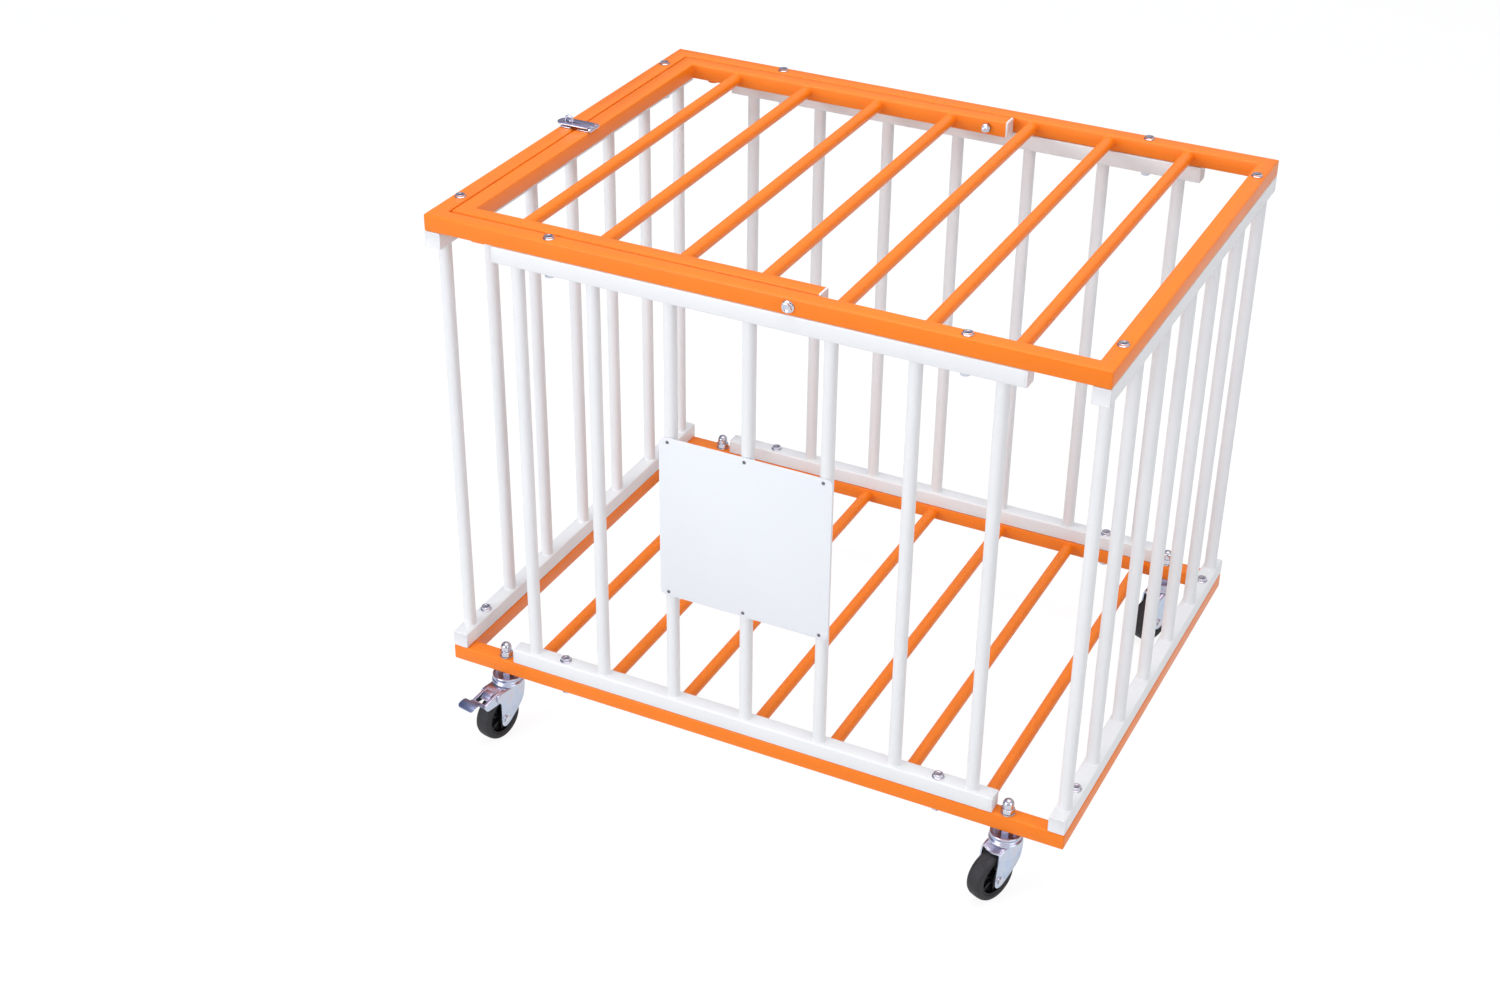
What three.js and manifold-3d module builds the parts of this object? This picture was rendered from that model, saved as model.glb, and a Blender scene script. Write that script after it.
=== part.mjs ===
// A wheeled ball cart: a barred cage of square tube on four swivel casters, with a hinged lid.
// Millimetres. X runs along the cage, Y from its front to its back, Z up from the floor.
import * as THREE from 'three';
import { mergeVertices } from 'three/addons/utils/BufferGeometryUtils.js';
import Module from 'manifold-3d';

const wasm = await Module();
wasm.setup();

// Cage
const cageLength = 1000;
const cageDepth = 750;
const cageHeight = 750;
const frameTube = 25;
const tubeWall = 1.5;
const tubeCorner = 2;
const rodDiameter = 19;
const rodWall = 1.2;
const rodCount = 7;
const rodEndInset = 131;
const capFlange = 3;

// Fits
const seatGap = 0.3;
const holeClearance = 0.3;

// Wall panels
const frontPanelEndInset = 108;
const frontBarCount = 7;
const frontBarEndInset = 143;
const frontBoltEndInset = 195;
const sideBarCount = 7;
const sideBarEndInset = 30;
const sideBoltEndInset = 75;

// Sign plate on the front bars
const signLength = 265;
const signHeight = 260;
const signThickness = 2.4;
const signCorner = 10;
const signRise = 209;

// Lid, its caps and the tabs that it rests on
const lidRodCount = 4;
const lidGap = 3;
const lidTail = 33;
const capPlugLength = 12;
const restTabInset = 84;
const restTabWidth = 20;
const restTabThickness = 3;
const restTabReach = 22;
const weldPadDepth = 15;

// Bolts
const boltDiameter = 8;
const boltHexAcross = 13;
const topFlangeDiameter = 16.4;
const topFlangeHeight = 1.4;
const topHeadHeight = 3.6;
const baseFlangeDiameter = 17.8;
const baseFlangeHeight = 1.6;
const baseHeadHeight = 5.5;
const pivotHeadHeight = 6;
const nutHeight = 6.5;
const boltTail = 1.5;
const pivotTail = 8;

// Hasp
const haspWidth = 25;
const haspSheet = 2;
const haspPinDiameter = 4;
const knuckleWall = 0.9;
const pinOverhang = 1.5;
const pinHeadDiameter = 5.4;
const pinHeadThickness = 0.8;
const leafLength = 20;
const strapReach = 60.5;
const slotLength = 20;
const slotWidth = 6;
const stapleBar = 4;
const stapleWidth = 16;
const stapleHeight = 15;
const staplePlateLength = 18;

// Casters
const casterEndInset = 88;
const wheelDiameter = 75;
const treadWidth = 25;
const tyreDepth = 9.5;
const hubWeb = 6;
const hubBossDiameter = 18;
const hubSpoke = 3;
const rimDepth = 3;
const rimInset = 1;
const hubSpokePairs = 3;
const trail = 27;
const forkGap = 31;
const forkSheet = 2.5;
const crownClearance = 12.5;
const crownHalfLength = 18;
const axleDiameter = 8;
const axleHexAcross = 10;
const axleHeadHeight = 3.2;
const bossDiameter = 40.4;
const bossHeight = 7.4;
const raceDiameter = 50;
const raceGap = 0.6;
const raceSheet = 4;
const raceRim = 2;
const collarHeight = 7.7;
const stemDiameter = 10;
const domeNutAcross = 18;
const domeNutHexHeight = 8;
const domeNutHeight = 22.3;
const domeDiameter = 16.6;
const washerDiameter = 21;
const washerThickness = 2;

// Brake pedal
const pedalSheet = 1.5;
const pedalRear = 27;
const pedalFront = 70;
const pedalFall = 8.5;
const pedalDepth = 11.5;
const pedalLipLength = 27;
const pedalLipRise = 10.9;
const pedalLipWidth = 30;
const pedalWindowLength = 24;
const pedalWindowWidth = 20;
const pedalPivotReach = 36.5;
const pedalPivotDrop = 6.5;
const pedalPinDiameter = 4;
const pedalPinProud = 0.8;

// Facets
const roundSides = 12;
const boreSides = 8;
const cavitySides = 6;
const flangeSides = 12;
const hubSides = 16;
const wheelSides = 24;
const hexSides = 6;
const domeRings = 3;
const lipSegments = 4;
const cornerSegments = 1;

const quarterTurn = Math.PI / 2;
const overrun = 1;

// Levels above the floor
const wheelRadius = wheelDiameter / 2;
const crownUnder = wheelDiameter + crownClearance;
const crownTop = crownUnder + forkSheet;
const bossTop = crownTop + bossHeight;
const cupUnder = bossTop + raceGap;
const cupTop = cupUnder + raceSheet;
const baseUnder = cupTop + collarHeight + seatGap;
const baseMiddle = baseUnder + frameTube / 2;
const baseTop = baseUnder + frameTube;
const cageTop = baseUnder + cageHeight;
const topUnder = cageTop - frameTube;
const topMiddle = cageTop - frameTube / 2;
const panelBottom = baseTop + seatGap;
const panelTop = topUnder - seatGap;

const finishes = {
  orangePaint: { color: 0xf57c2a, roughness: 0.36, metalness: 0 },
  whitePaint: { color: 0xf0f0f4, roughness: 0.38, metalness: 0 },
  whitePlastic: { color: 0xf3f3f6, roughness: 0.45, metalness: 0 },
  zinc: { color: 0xc3c8d2, roughness: 0.28, metalness: 0.95 },
  blackPlastic: { color: 0x0f1013, roughness: 0.45, metalness: 0 },
  rubber: { color: 0x3b3b3e, roughness: 0.75, metalness: 0 },
};

const cart = new THREE.Group();

// A closed geometry as a solid: seams merged, folded triangles dropped, faces turned outwards.
function solidOf(geometry) {
  geometry.deleteAttribute('normal');
  geometry.deleteAttribute('uv');
  const merged = mergeVertices(geometry);
  const corners = merged.index.array;
  const kept = [];
  for (let i = 0; i < corners.length; i += 3) {
    const [a, b, c] = [corners[i], corners[i + 1], corners[i + 2]];
    if (a !== b && b !== c && c !== a) kept.push(a, b, c);
  }
  const vertProperties = new Float32Array(merged.attributes.position.array);
  const solidWith = (order) => new wasm.Manifold(
    new wasm.Mesh({ numProp: 3, vertProperties, triVerts: new Uint32Array(order) }),
  );
  const solid = solidWith(kept);
  return solid.volume() > 0 ? solid : solidWith(kept.reverse());
}

function join(solids) {
  return solids.reduce((whole, next) => whole.add(next));
}

function cut(solid, tools) {
  return tools.reduce((left, tool) => left.subtract(tool), solid);
}

function addPiece(parent, name, solid, finish) {
  const { vertProperties, triVerts } = solid.getMesh();
  const geometry = new THREE.BufferGeometry();
  geometry.setAttribute('position', new THREE.BufferAttribute(vertProperties, 3));
  geometry.setIndex(new THREE.BufferAttribute(triVerts, 1));
  geometry.computeVertexNormals();
  const mesh = new THREE.Mesh(geometry, new THREE.MeshStandardMaterial(finish));
  mesh.name = name;
  parent.add(mesh);
  return mesh;
}

// A block between two corners.
function blockSolid(low, high) {
  const size = high.map((value, i) => value - low[i]);
  const geometry = new THREE.BoxGeometry(...size);
  geometry.translate(...low.map((value, i) => value + size[i] / 2));
  return solidOf(geometry);
}

// A prism with the given number of sides along one axis, centred on a point.
function prismSolid(axis, radius, length, sides, centre) {
  const geometry = new THREE.CylinderGeometry(radius, radius, length, sides);
  if (axis === 'x') geometry.rotateZ(-quarterTurn);
  if (axis === 'z') geometry.rotateX(quarterTurn);
  geometry.translate(...centre);
  return solidOf(geometry);
}

// The same prism, with its flats on the radius instead of its edges.
function flatPrismSolid(axis, radius, length, sides, centre) {
  return prismSolid(axis, radius / Math.cos(Math.PI / sides), length, sides, centre);
}

function holeSolid(axis, shankDiameter, length, centre) {
  return flatPrismSolid(axis, shankDiameter / 2 + holeClearance, length, boreSides, centre);
}

// A turned shape: its outline is [radius, place along the axis].
function turnedSolid(axis, outline, sides, facetDown = false) {
  const points = outline.map(([radius, place]) => new THREE.Vector2(radius, place));
  const start = facetDown ? Math.PI / sides : 0;
  const geometry = new THREE.LatheGeometry(points, sides, start, 2 * Math.PI);
  if (axis === 'x') geometry.rotateZ(-quarterTurn);
  if (axis === 'z') geometry.rotateX(quarterTurn);
  return solidOf(geometry);
}

function roundedRectangle(width, height, radius) {
  const shape = new THREE.Shape();
  const [x, y] = [width / 2 - radius, height / 2 - radius];
  shape.absarc(x, y, radius, 0, quarterTurn);
  shape.absarc(-x, y, radius, quarterTurn, 2 * quarterTurn);
  shape.absarc(-x, -y, radius, 2 * quarterTurn, 3 * quarterTurn);
  shape.absarc(x, -y, radius, 3 * quarterTurn, 4 * quarterTurn);
  return shape;
}

function rectangle(width, height) {
  const [x, y] = [width / 2, height / 2];
  return new THREE.Shape([[x, y], [-x, y], [-x, -y], [x, -y]].map(([px, py]) => new THREE.Vector2(px, py)));
}

function polygon(points) {
  return new THREE.Shape(points.map(([x, y]) => new THREE.Vector2(x, y)));
}

// A shape drawn in the XY plane and raised along Z.
function raisedSolid(shape, low, high, curveSegments = cornerSegments) {
  const options = { depth: high - low, bevelEnabled: false, curveSegments };
  const geometry = new THREE.ExtrudeGeometry(shape, options);
  geometry.translate(0, 0, low);
  return solidOf(geometry);
}

// A rectangular ring of square tube, centred on the origin.
function ringSolid(length, depth, tube, corner) {
  const shape = rectangle(length, depth);
  shape.holes.push(rectangle(length - 2 * tube, depth - 2 * tube));
  const geometry = new THREE.ExtrudeGeometry(shape, {
    depth: tube - 2 * corner,
    bevelEnabled: corner > 0,
    bevelThickness: corner,
    bevelSize: corner,
    bevelOffset: -corner,
    bevelSegments: cornerSegments,
  });
  geometry.translate(0, 0, corner - tube / 2);
  return solidOf(geometry);
}

// A straight square tube along X, centred on a point.
function railSolid(length, tube, corner, centre) {
  const section = corner > 0 ? roundedRectangle(tube, tube, corner) : rectangle(tube, tube);
  const options = { depth: length, bevelEnabled: false, curveSegments: cornerSegments };
  const geometry = new THREE.ExtrudeGeometry(section, options);
  geometry.translate(0, 0, -length / 2);
  geometry.rotateY(quarterTurn);
  geometry.translate(...centre);
  return solidOf(geometry);
}

// Evenly spaced places from one end to the other.
function spread(count, inset, wholeLength) {
  const first = inset - wholeLength / 2;
  const pitch = (wholeLength - 2 * inset) / (count - 1);
  return Array.from({ length: count }, (_, i) => first + i * pitch);
}

const rodPlaces = spread(rodCount, rodEndInset, cageLength);
const frontBarPlaces = spread(frontBarCount, frontBarEndInset, cageLength);
const sideBarPlaces = spread(sideBarCount, sideBarEndInset, cageDepth);
const sideX = cageLength / 2 - frameTube / 2;
const frontY = cageDepth / 2 - frameTube / 2;
const frontBoltX = cageLength / 2 - frontBoltEndInset;
const sideBoltY = cageDepth / 2 - sideBoltEndInset;
const casterX = cageLength / 2 - casterEndInset;

// The bolts stand in pairs on each of the four sides of the cage.
const boltPlaces = {
  front_left: [-frontBoltX, -frontY],
  front_right: [frontBoltX, -frontY],
  back_left: [-frontBoltX, frontY],
  back_right: [frontBoltX, frontY],
  left_front: [-sideX, -sideBoltY],
  left_back: [-sideX, sideBoltY],
  right_front: [sideX, -sideBoltY],
  right_back: [sideX, sideBoltY],
};

const lidPivotX = (rodPlaces[lidRodCount - 1] + rodPlaces[lidRodCount]) / 2;
const lidLeft = frameTube + lidGap - cageLength / 2;
const lidRailEnd = lidPivotX + lidTail - capFlange - seatGap;
const lidDepth = cageDepth - 2 * (frameTube + lidGap);
const lidRailY = lidDepth / 2 - frameTube / 2;

// A hollow welded frame: a ring of square tube with round rods across it.
function weldedFrame(length, depth, places) {
  const rodLength = depth - frameTube;
  const rodRadius = rodDiameter / 2;
  const ring = ringSolid(length, depth, frameTube, tubeCorner);
  const rods = places.map((x) => prismSolid('y', rodRadius, rodLength, roundSides, [x, 0, 0]));
  const bores = places.map((x) => prismSolid('y', rodRadius - rodWall, rodLength, cavitySides, [x, 0, 0]));
  const inset = 2 * tubeWall;
  const cavity = ringSolid(length - inset, depth - inset, frameTube - inset, 0);
  return cut(join([ring, ...rods]), [cavity, ...bores]);
}

function boltHoles(middle) {
  const length = frameTube + 2 * overrun;
  return Object.values(boltPlaces).map(([x, y]) => holeSolid('z', boltDiameter, length, [x, y, middle]));
}

function addBaseFrame() {
  const frame = weldedFrame(cageLength, cageDepth, rodPlaces);
  const stemHoles = [];
  for (const x of [-casterX, casterX]) {
    for (const y of [-frontY, frontY]) {
      stemHoles.push(holeSolid('z', stemDiameter, frameTube + 2 * overrun, [x, y, 0]));
    }
  }
  const solid = cut(frame, [...boltHoles(0), ...stemHoles]);
  addPiece(cart, 'base_frame', solid, finishes.orangePaint).position.z = baseMiddle;
}

// A tab welded under the front or the back tube of the top frame: the lid's rail lies on it.
function restTabSolid(side) {
  const x = restTabInset - cageLength / 2;
  const tabTop = -frameTube / 2 - seatGap;
  const outerY = cageDepth / 2 - frameTube / 2 + weldPadDepth / 2;
  const innerY = cageDepth / 2 - frameTube - lidGap - restTabReach;
  const noseRadius = restTabWidth / 2;
  const shape = new THREE.Shape();
  shape.moveTo(x + noseRadius, side * outerY);
  shape.lineTo(x + noseRadius, side * (innerY + noseRadius));
  shape.absarc(x, side * (innerY + noseRadius), noseRadius, 0, -side * 2 * quarterTurn, side > 0);
  shape.lineTo(x - noseRadius, side * outerY);
  const plate = raisedSolid(shape, tabTop - restTabThickness, tabTop, boreSides);
  const padY = [side * (outerY - weldPadDepth), side * outerY].sort((a, b) => a - b);
  const pad = blockSolid(
    [x - noseRadius, padY[0], tabTop - restTabThickness / 2],
    [x + noseRadius, padY[1], tabTop + seatGap + tubeWall / 2],
  );
  return plate.add(pad);
}

function addTopFrame() {
  const frame = weldedFrame(cageLength, cageDepth, rodPlaces.slice(lidRodCount));
  const pivotHoles = [-frontY, frontY].map(
    (y) => holeSolid('y', boltDiameter, frameTube + 2 * overrun, [lidPivotX, y, 0]),
  );
  const drilled = cut(frame, [...boltHoles(0), ...pivotHoles]);
  const solid = join([drilled, restTabSolid(-1), restTabSolid(1)]);
  addPiece(cart, 'top_frame', solid, finishes.orangePaint).position.z = topMiddle;
}

// The lid is a frame with its right-hand tube left out: its two long rails end past the pivot.
function addLid() {
  const ringLength = lidRailEnd - lidLeft + frameTube;
  const ringX = lidLeft + ringLength / 2;
  const places = rodPlaces.slice(0, lidRodCount).map((x) => x - ringX);
  const frame = weldedFrame(ringLength, lidDepth, places);
  const offcut = blockSolid(
    [lidRailEnd - ringX, -lidDepth, -frameTube],
    [ringLength, lidDepth, frameTube],
  );
  const pivotHoles = [-lidRailY, lidRailY].map(
    (y) => holeSolid('y', boltDiameter, frameTube + 2 * overrun, [lidPivotX - ringX, y, 0]),
  );
  const lid = addPiece(cart, 'lid_frame', cut(frame, [offcut, ...pivotHoles]), finishes.orangePaint);
  lid.position.set(ringX, 0, topMiddle);
}

// A plastic cap: a flange over the end of a rail and a plug inside it.
function addLidCap(name, y) {
  const plugTube = frameTube - 2 * (tubeWall + holeClearance);
  const plugReach = capPlugLength + seatGap + capFlange / 2;
  const flange = railSolid(capFlange, frameTube, tubeCorner, [capFlange / 2, 0, 0]);
  const plug = railSolid(plugReach, plugTube, 0, [capFlange / 2 - plugReach / 2, 0, 0]);
  const cap = addPiece(cart, name, flange.add(plug), finishes.whitePlastic);
  cap.position.set(lidRailEnd + seatGap, y, topMiddle);
}

// A wall panel along X: two rails with closed ends and the bars between them.
function panelSolid(length, barPlaces, boltX) {
  const lowZ = panelBottom + frameTube / 2;
  const highZ = panelTop - frameTube / 2;
  const middleZ = (lowZ + highZ) / 2;
  const barRadius = rodDiameter / 2;
  const solids = [];
  const tools = [];
  for (const z of [lowZ, highZ]) {
    solids.push(railSolid(length, frameTube, tubeCorner, [0, 0, z]));
    tools.push(railSolid(length - 2 * capFlange, frameTube - 2 * tubeWall, 0, [0, 0, z]));
    for (const x of [-boltX, boltX]) {
      tools.push(holeSolid('z', boltDiameter, frameTube + 2 * overrun, [x, 0, z]));
    }
  }
  for (const x of barPlaces) {
    solids.push(prismSolid('z', barRadius, highZ - lowZ, roundSides, [x, 0, middleZ]));
    tools.push(prismSolid('z', barRadius - rodWall, highZ - lowZ, cavitySides, [x, 0, middleZ]));
  }
  return cut(join(solids), tools);
}

function addPanels() {
  const frontLength = cageLength - 2 * frontPanelEndInset;
  for (const [name, side] of [['front_panel', -1], ['back_panel', 1]]) {
    const solid = panelSolid(frontLength, frontBarPlaces, frontBoltX);
    addPiece(cart, name, solid, finishes.whitePaint).position.y = side * frontY;
  }
  for (const [name, side] of [['left_panel', -1], ['right_panel', 1]]) {
    const solid = panelSolid(cageDepth, sideBarPlaces, sideBoltY);
    const panel = addPiece(cart, name, solid, finishes.whitePaint);
    panel.rotation.z = quarterTurn;
    panel.position.x = side * sideX;
  }
}

function addSignPlate() {
  const shape = roundedRectangle(signLength, signHeight, signCorner);
  const plate = addPiece(cart, 'sign_plate', raisedSolid(shape, 0, signThickness), finishes.whitePaint);
  plate.rotation.x = quarterTurn;
  const barFrontY = (frameTube - rodDiameter) / 2 - cageDepth / 2;
  plate.position.set(0, barFrontY - seatGap, baseTop + signRise + signHeight / 2);
}

// A flanged bolt with its nut, head up, with the underside of the head at zero.
function boltSolid(flangeDiameter, flangeHeight, headHeight, grip, tail) {
  const radius = flangeDiameter / 2;
  const flange = new THREE.CylinderGeometry(boltHexAcross / 2, radius, flangeHeight, flangeSides);
  flange.rotateX(quarterTurn);
  flange.translate(0, 0, flangeHeight / 2);
  const shankLength = flangeHeight / 2 + grip + nutHeight + tail;
  const shankZ = flangeHeight / 2 - shankLength / 2;
  const nutZ = -grip - nutHeight / 2;
  return join([
    solidOf(flange),
    flatPrismSolid('z', boltHexAcross / 2, headHeight, hexSides, [0, 0, headHeight / 2]),
    prismSolid('z', boltDiameter / 2, shankLength, boreSides, [0, 0, shankZ]),
    flatPrismSolid('z', boltHexAcross / 2, nutHeight, hexSides, [0, 0, nutZ]),
  ]);
}

// The bolts go down through a frame tube and a panel rail: heads over the top frame and over
// the lower rails, nuts under the upper rails and under the base frame.
function addPanelBolts() {
  const grip = 2 * frameTube + 3 * seatGap;
  for (const [place, [x, y]] of Object.entries(boltPlaces)) {
    const top = boltSolid(topFlangeDiameter, topFlangeHeight, topHeadHeight, grip, boltTail);
    addPiece(cart, `bolt_top_${place}`, top, finishes.zinc).position.set(x, y, cageTop + seatGap);
    const base = boltSolid(baseFlangeDiameter, baseFlangeHeight, baseHeadHeight, grip, boltTail);
    const seat = panelBottom + frameTube + seatGap;
    addPiece(cart, `bolt_base_${place}`, base, finishes.zinc).position.set(x, y, seat);
  }
}

function addPivotBolts() {
  const grip = 2 * frameTube + lidGap + 2 * seatGap;
  for (const [name, side] of [['lid_pivot_bolt_front', -1], ['lid_pivot_bolt_back', 1]]) {
    const solid = boltSolid(baseFlangeDiameter, baseFlangeHeight, pivotHeadHeight, grip, pivotTail);
    const bolt = addPiece(cart, name, solid, finishes.zinc);
    bolt.rotation.x = -side * quarterTurn;
    bolt.position.set(lidPivotX, side * (cageDepth / 2 + seatGap), topMiddle);
  }
}

// The hasp lies across the gap between the left tube and the lid. Its group's origin is on the
// outer left edge of the top frame, at its top face.
function addHasp() {
  const hasp = new THREE.Group();
  hasp.position.set(-cageLength / 2, 0, cageTop);
  cart.add(hasp);

  const halfWidth = haspWidth / 2;
  const pinBore = haspPinDiameter / 2 + holeClearance;
  const knuckleRadius = pinBore + knuckleWall;
  const pinX = frameTube + lidGap + frameTube + pinOverhang;
  const pinZ = seatGap + knuckleRadius;
  const thirdHalf = haspWidth / 6;
  const notch = knuckleRadius + 2 * seatGap;
  const strapLow = pinZ + knuckleRadius - haspSheet;
  const strapHigh = pinZ + knuckleRadius;
  const stapleX = frameTube / 2;
  const bore = flatPrismSolid('y', pinBore, haspWidth + 2 * overrun, boreSides, [pinX, 0, pinZ]);

  const leafPlate = blockSolid(
    [pinX - pinOverhang - leafLength, -halfWidth, seatGap],
    [pinX, halfWidth, seatGap + haspSheet],
  );
  const knuckles = prismSolid('y', knuckleRadius, haspWidth, roundSides, [pinX, 0, pinZ]);
  const middleGap = blockSolid(
    [pinX - notch, -thirdHalf - seatGap, -overrun],
    [pinX + notch, thirdHalf + seatGap, strapHigh + overrun],
  );
  addPiece(hasp, 'hasp_leaf', cut(leafPlate.add(knuckles), [middleGap, bore]), finishes.zinc);

  const outline = new THREE.Shape();
  const freeEnd = pinX - strapReach;
  const noseRadius = halfWidth - tubeCorner;
  outline.moveTo(pinX, halfWidth);
  outline.lineTo(freeEnd + noseRadius, halfWidth);
  outline.quadraticCurveTo(freeEnd, halfWidth, freeEnd, 0);
  outline.quadraticCurveTo(freeEnd, -halfWidth, freeEnd + noseRadius, -halfWidth);
  outline.lineTo(pinX, -halfWidth);
  const strapPlate = raisedSolid(outline, strapLow, strapHigh, boreSides);
  const knuckle = prismSolid('y', knuckleRadius, 2 * thirdHalf, roundSides, [pinX, 0, pinZ]);
  const slot = blockSolid(
    [stapleX - slotLength / 2, -slotWidth / 2, strapLow - overrun],
    [stapleX + slotLength / 2, slotWidth / 2, strapHigh + overrun],
  );
  const sideGaps = [[-halfWidth - overrun, -thirdHalf], [thirdHalf, halfWidth + overrun]].map(
    ([low, high]) => blockSolid([pinX - notch, low, -overrun], [pinX + notch, high, strapHigh + overrun]),
  );
  const strap = cut(strapPlate.add(knuckle), [slot, bore, ...sideGaps]);
  addPiece(hasp, 'hasp_strap', strap, finishes.zinc);

  const pinLength = haspWidth + 2 * seatGap + 2 * pinHeadThickness;
  const headY = halfWidth + seatGap + pinHeadThickness / 2;
  const pinParts = [prismSolid('y', haspPinDiameter / 2, pinLength, boreSides, [pinX, 0, pinZ])];
  for (const y of [-headY, headY]) {
    pinParts.push(prismSolid('y', pinHeadDiameter / 2, pinHeadThickness, boreSides, [pinX, y, pinZ]));
  }
  addPiece(hasp, 'hasp_pin', join(pinParts), finishes.zinc);

  const plateTop = seatGap + haspSheet;
  const archRadius = stapleWidth / 2;
  const archZ = stapleHeight - archRadius;
  const barChamfer = stapleBar / 4;
  const arch = new THREE.Shape();
  arch.moveTo(archRadius, -haspSheet / 2);
  arch.absarc(0, archZ, archRadius, 0, Math.PI);
  arch.lineTo(-archRadius, -haspSheet / 2);
  arch.lineTo(stapleBar - archRadius, -haspSheet / 2);
  arch.absarc(0, archZ, archRadius - stapleBar, Math.PI, 0, true);
  arch.lineTo(archRadius - stapleBar, -haspSheet / 2);
  const loop = new THREE.ExtrudeGeometry(arch, {
    depth: stapleBar - 2 * barChamfer,
    bevelEnabled: true,
    bevelThickness: barChamfer,
    bevelSize: barChamfer,
    bevelOffset: -barChamfer,
    bevelSegments: cornerSegments,
    curveSegments: boreSides,
  });
  loop.translate(0, 0, barChamfer - stapleBar / 2);
  loop.rotateX(quarterTurn);
  loop.translate(stapleX, 0, plateTop);
  const plate = blockSolid(
    [stapleX - staplePlateLength / 2, -halfWidth, seatGap],
    [stapleX + staplePlateLength / 2, halfWidth, plateTop],
  );
  addPiece(hasp, 'hasp_staple', plate.add(solidOf(loop)), finishes.zinc);
}

// Each caster is made with its swivel axis on Z and its trail towards -Y. A side view is drawn as
// [reach ahead of the swivel axis, height] and this turns it to stand across the caster.
function sideViewSolid(shape, low, high, curveSegments = cornerSegments) {
  const options = { depth: high - low, bevelEnabled: false, curveSegments };
  const geometry = new THREE.ExtrudeGeometry(shape, options);
  geometry.translate(0, 0, -high);
  const turn = new THREE.Matrix4().makeBasis(
    new THREE.Vector3(0, -1, 0),
    new THREE.Vector3(0, 0, 1),
    new THREE.Vector3(-1, 0, 0),
  );
  geometry.applyMatrix4(turn);
  return solidOf(geometry);
}

const forkHalf = forkGap / 2;
const skirtBottom = crownTop + seatGap;
const raceOutlineShares = [[0.93, 0], [1, 0.16], [1, 0.56], [0.9, 0.9], [0.7, 1], [0.5, 0.87]];
const stemTop = baseTop + seatGap + washerThickness + domeNutHexHeight;

// The fixed half of a caster: race cup, collar and threaded stem.
function stemSolid() {
  const raceRadius = raceDiameter / 2;
  const skirtInner = bossDiameter / 2 + raceGap;
  const rimTop = cupTop + raceRim;
  const outer = raceOutlineShares.map(([across, up]) => [
    raceRadius * across,
    skirtBottom + (rimTop - skirtBottom) * up,
  ]);
  const cup = turnedSolid(
    'z',
    [[0, cupUnder], [skirtInner, cupUnder], [skirtInner, skirtBottom], ...outer, [0, cupTop]],
    hubSides,
  );
  const collarTop = baseUnder - seatGap;
  const collarZ = (cupUnder + collarTop) / 2;
  const stemZ = (cupUnder + raceSheet / 2 + stemTop) / 2;
  const collarLength = collarTop - cupUnder - overrun;
  const collar = flatPrismSolid('z', domeNutAcross / 2, collarLength, hexSides, [0, 0, collarZ]);
  const stemLength = stemTop - cupUnder - raceSheet / 2;
  const stem = prismSolid('z', stemDiameter / 2, stemLength, boreSides, [0, 0, stemZ]);
  return join([cup, collar, stem]);
}

function domeNutSolid() {
  const hole = stemDiameter / 2 + holeClearance;
  const holeTop = washerThickness + domeNutHexHeight + seatGap;
  const domeRadius = domeDiameter / 2;
  const domeMiddle = washerThickness + domeNutHeight - domeRadius;
  const dome = [];
  for (let ring = 0; ring <= domeRings; ring += 1) {
    const angle = quarterTurn * ring / domeRings;
    dome.push([domeRadius * Math.cos(angle), domeMiddle + domeRadius * Math.sin(angle)]);
  }
  dome[domeRings][0] = 0;
  const washerRadius = washerDiameter / 2;
  const turned = turnedSolid(
    'z',
    [
      [0, holeTop], [hole, holeTop], [hole, 0], [washerRadius, 0],
      [washerRadius, washerThickness], [domeRadius, washerThickness], ...dome,
    ],
    roundSides,
  );
  const hexHeight = domeNutHexHeight + washerThickness / 2;
  const hexZ = washerThickness / 2 + hexHeight / 2;
  const hex = flatPrismSolid('z', domeNutAcross / 2, hexHeight, hexSides, [0, 0, hexZ]);
  const bore = prismSolid('z', hole, 2 * holeTop, roundSides, [0, 0, 0]);
  return turned.add(hex.subtract(bore));
}

// Side view of a fork cheek, as shares of the crown's height in both directions.
const cheekBackShares = [
  [-0.2, 1], [-0.191, 0.765], [-0.164, 0.65], [-0.029, 0.507], [0.143, 0.354], [0.268, 0.272],
];
const cheekToeShares = [[0.358, 0.284], [0.392, 0.368]];
const cheekPlainFrontShares = [[0.358, 0.64], [0.315, 0.92], [0.29, 1]];
const cheekBrakedFrontShares = [[0.392, 0.755], [0.463, 0.825], [0.468, 0.93], [0.42, 1]];

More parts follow.
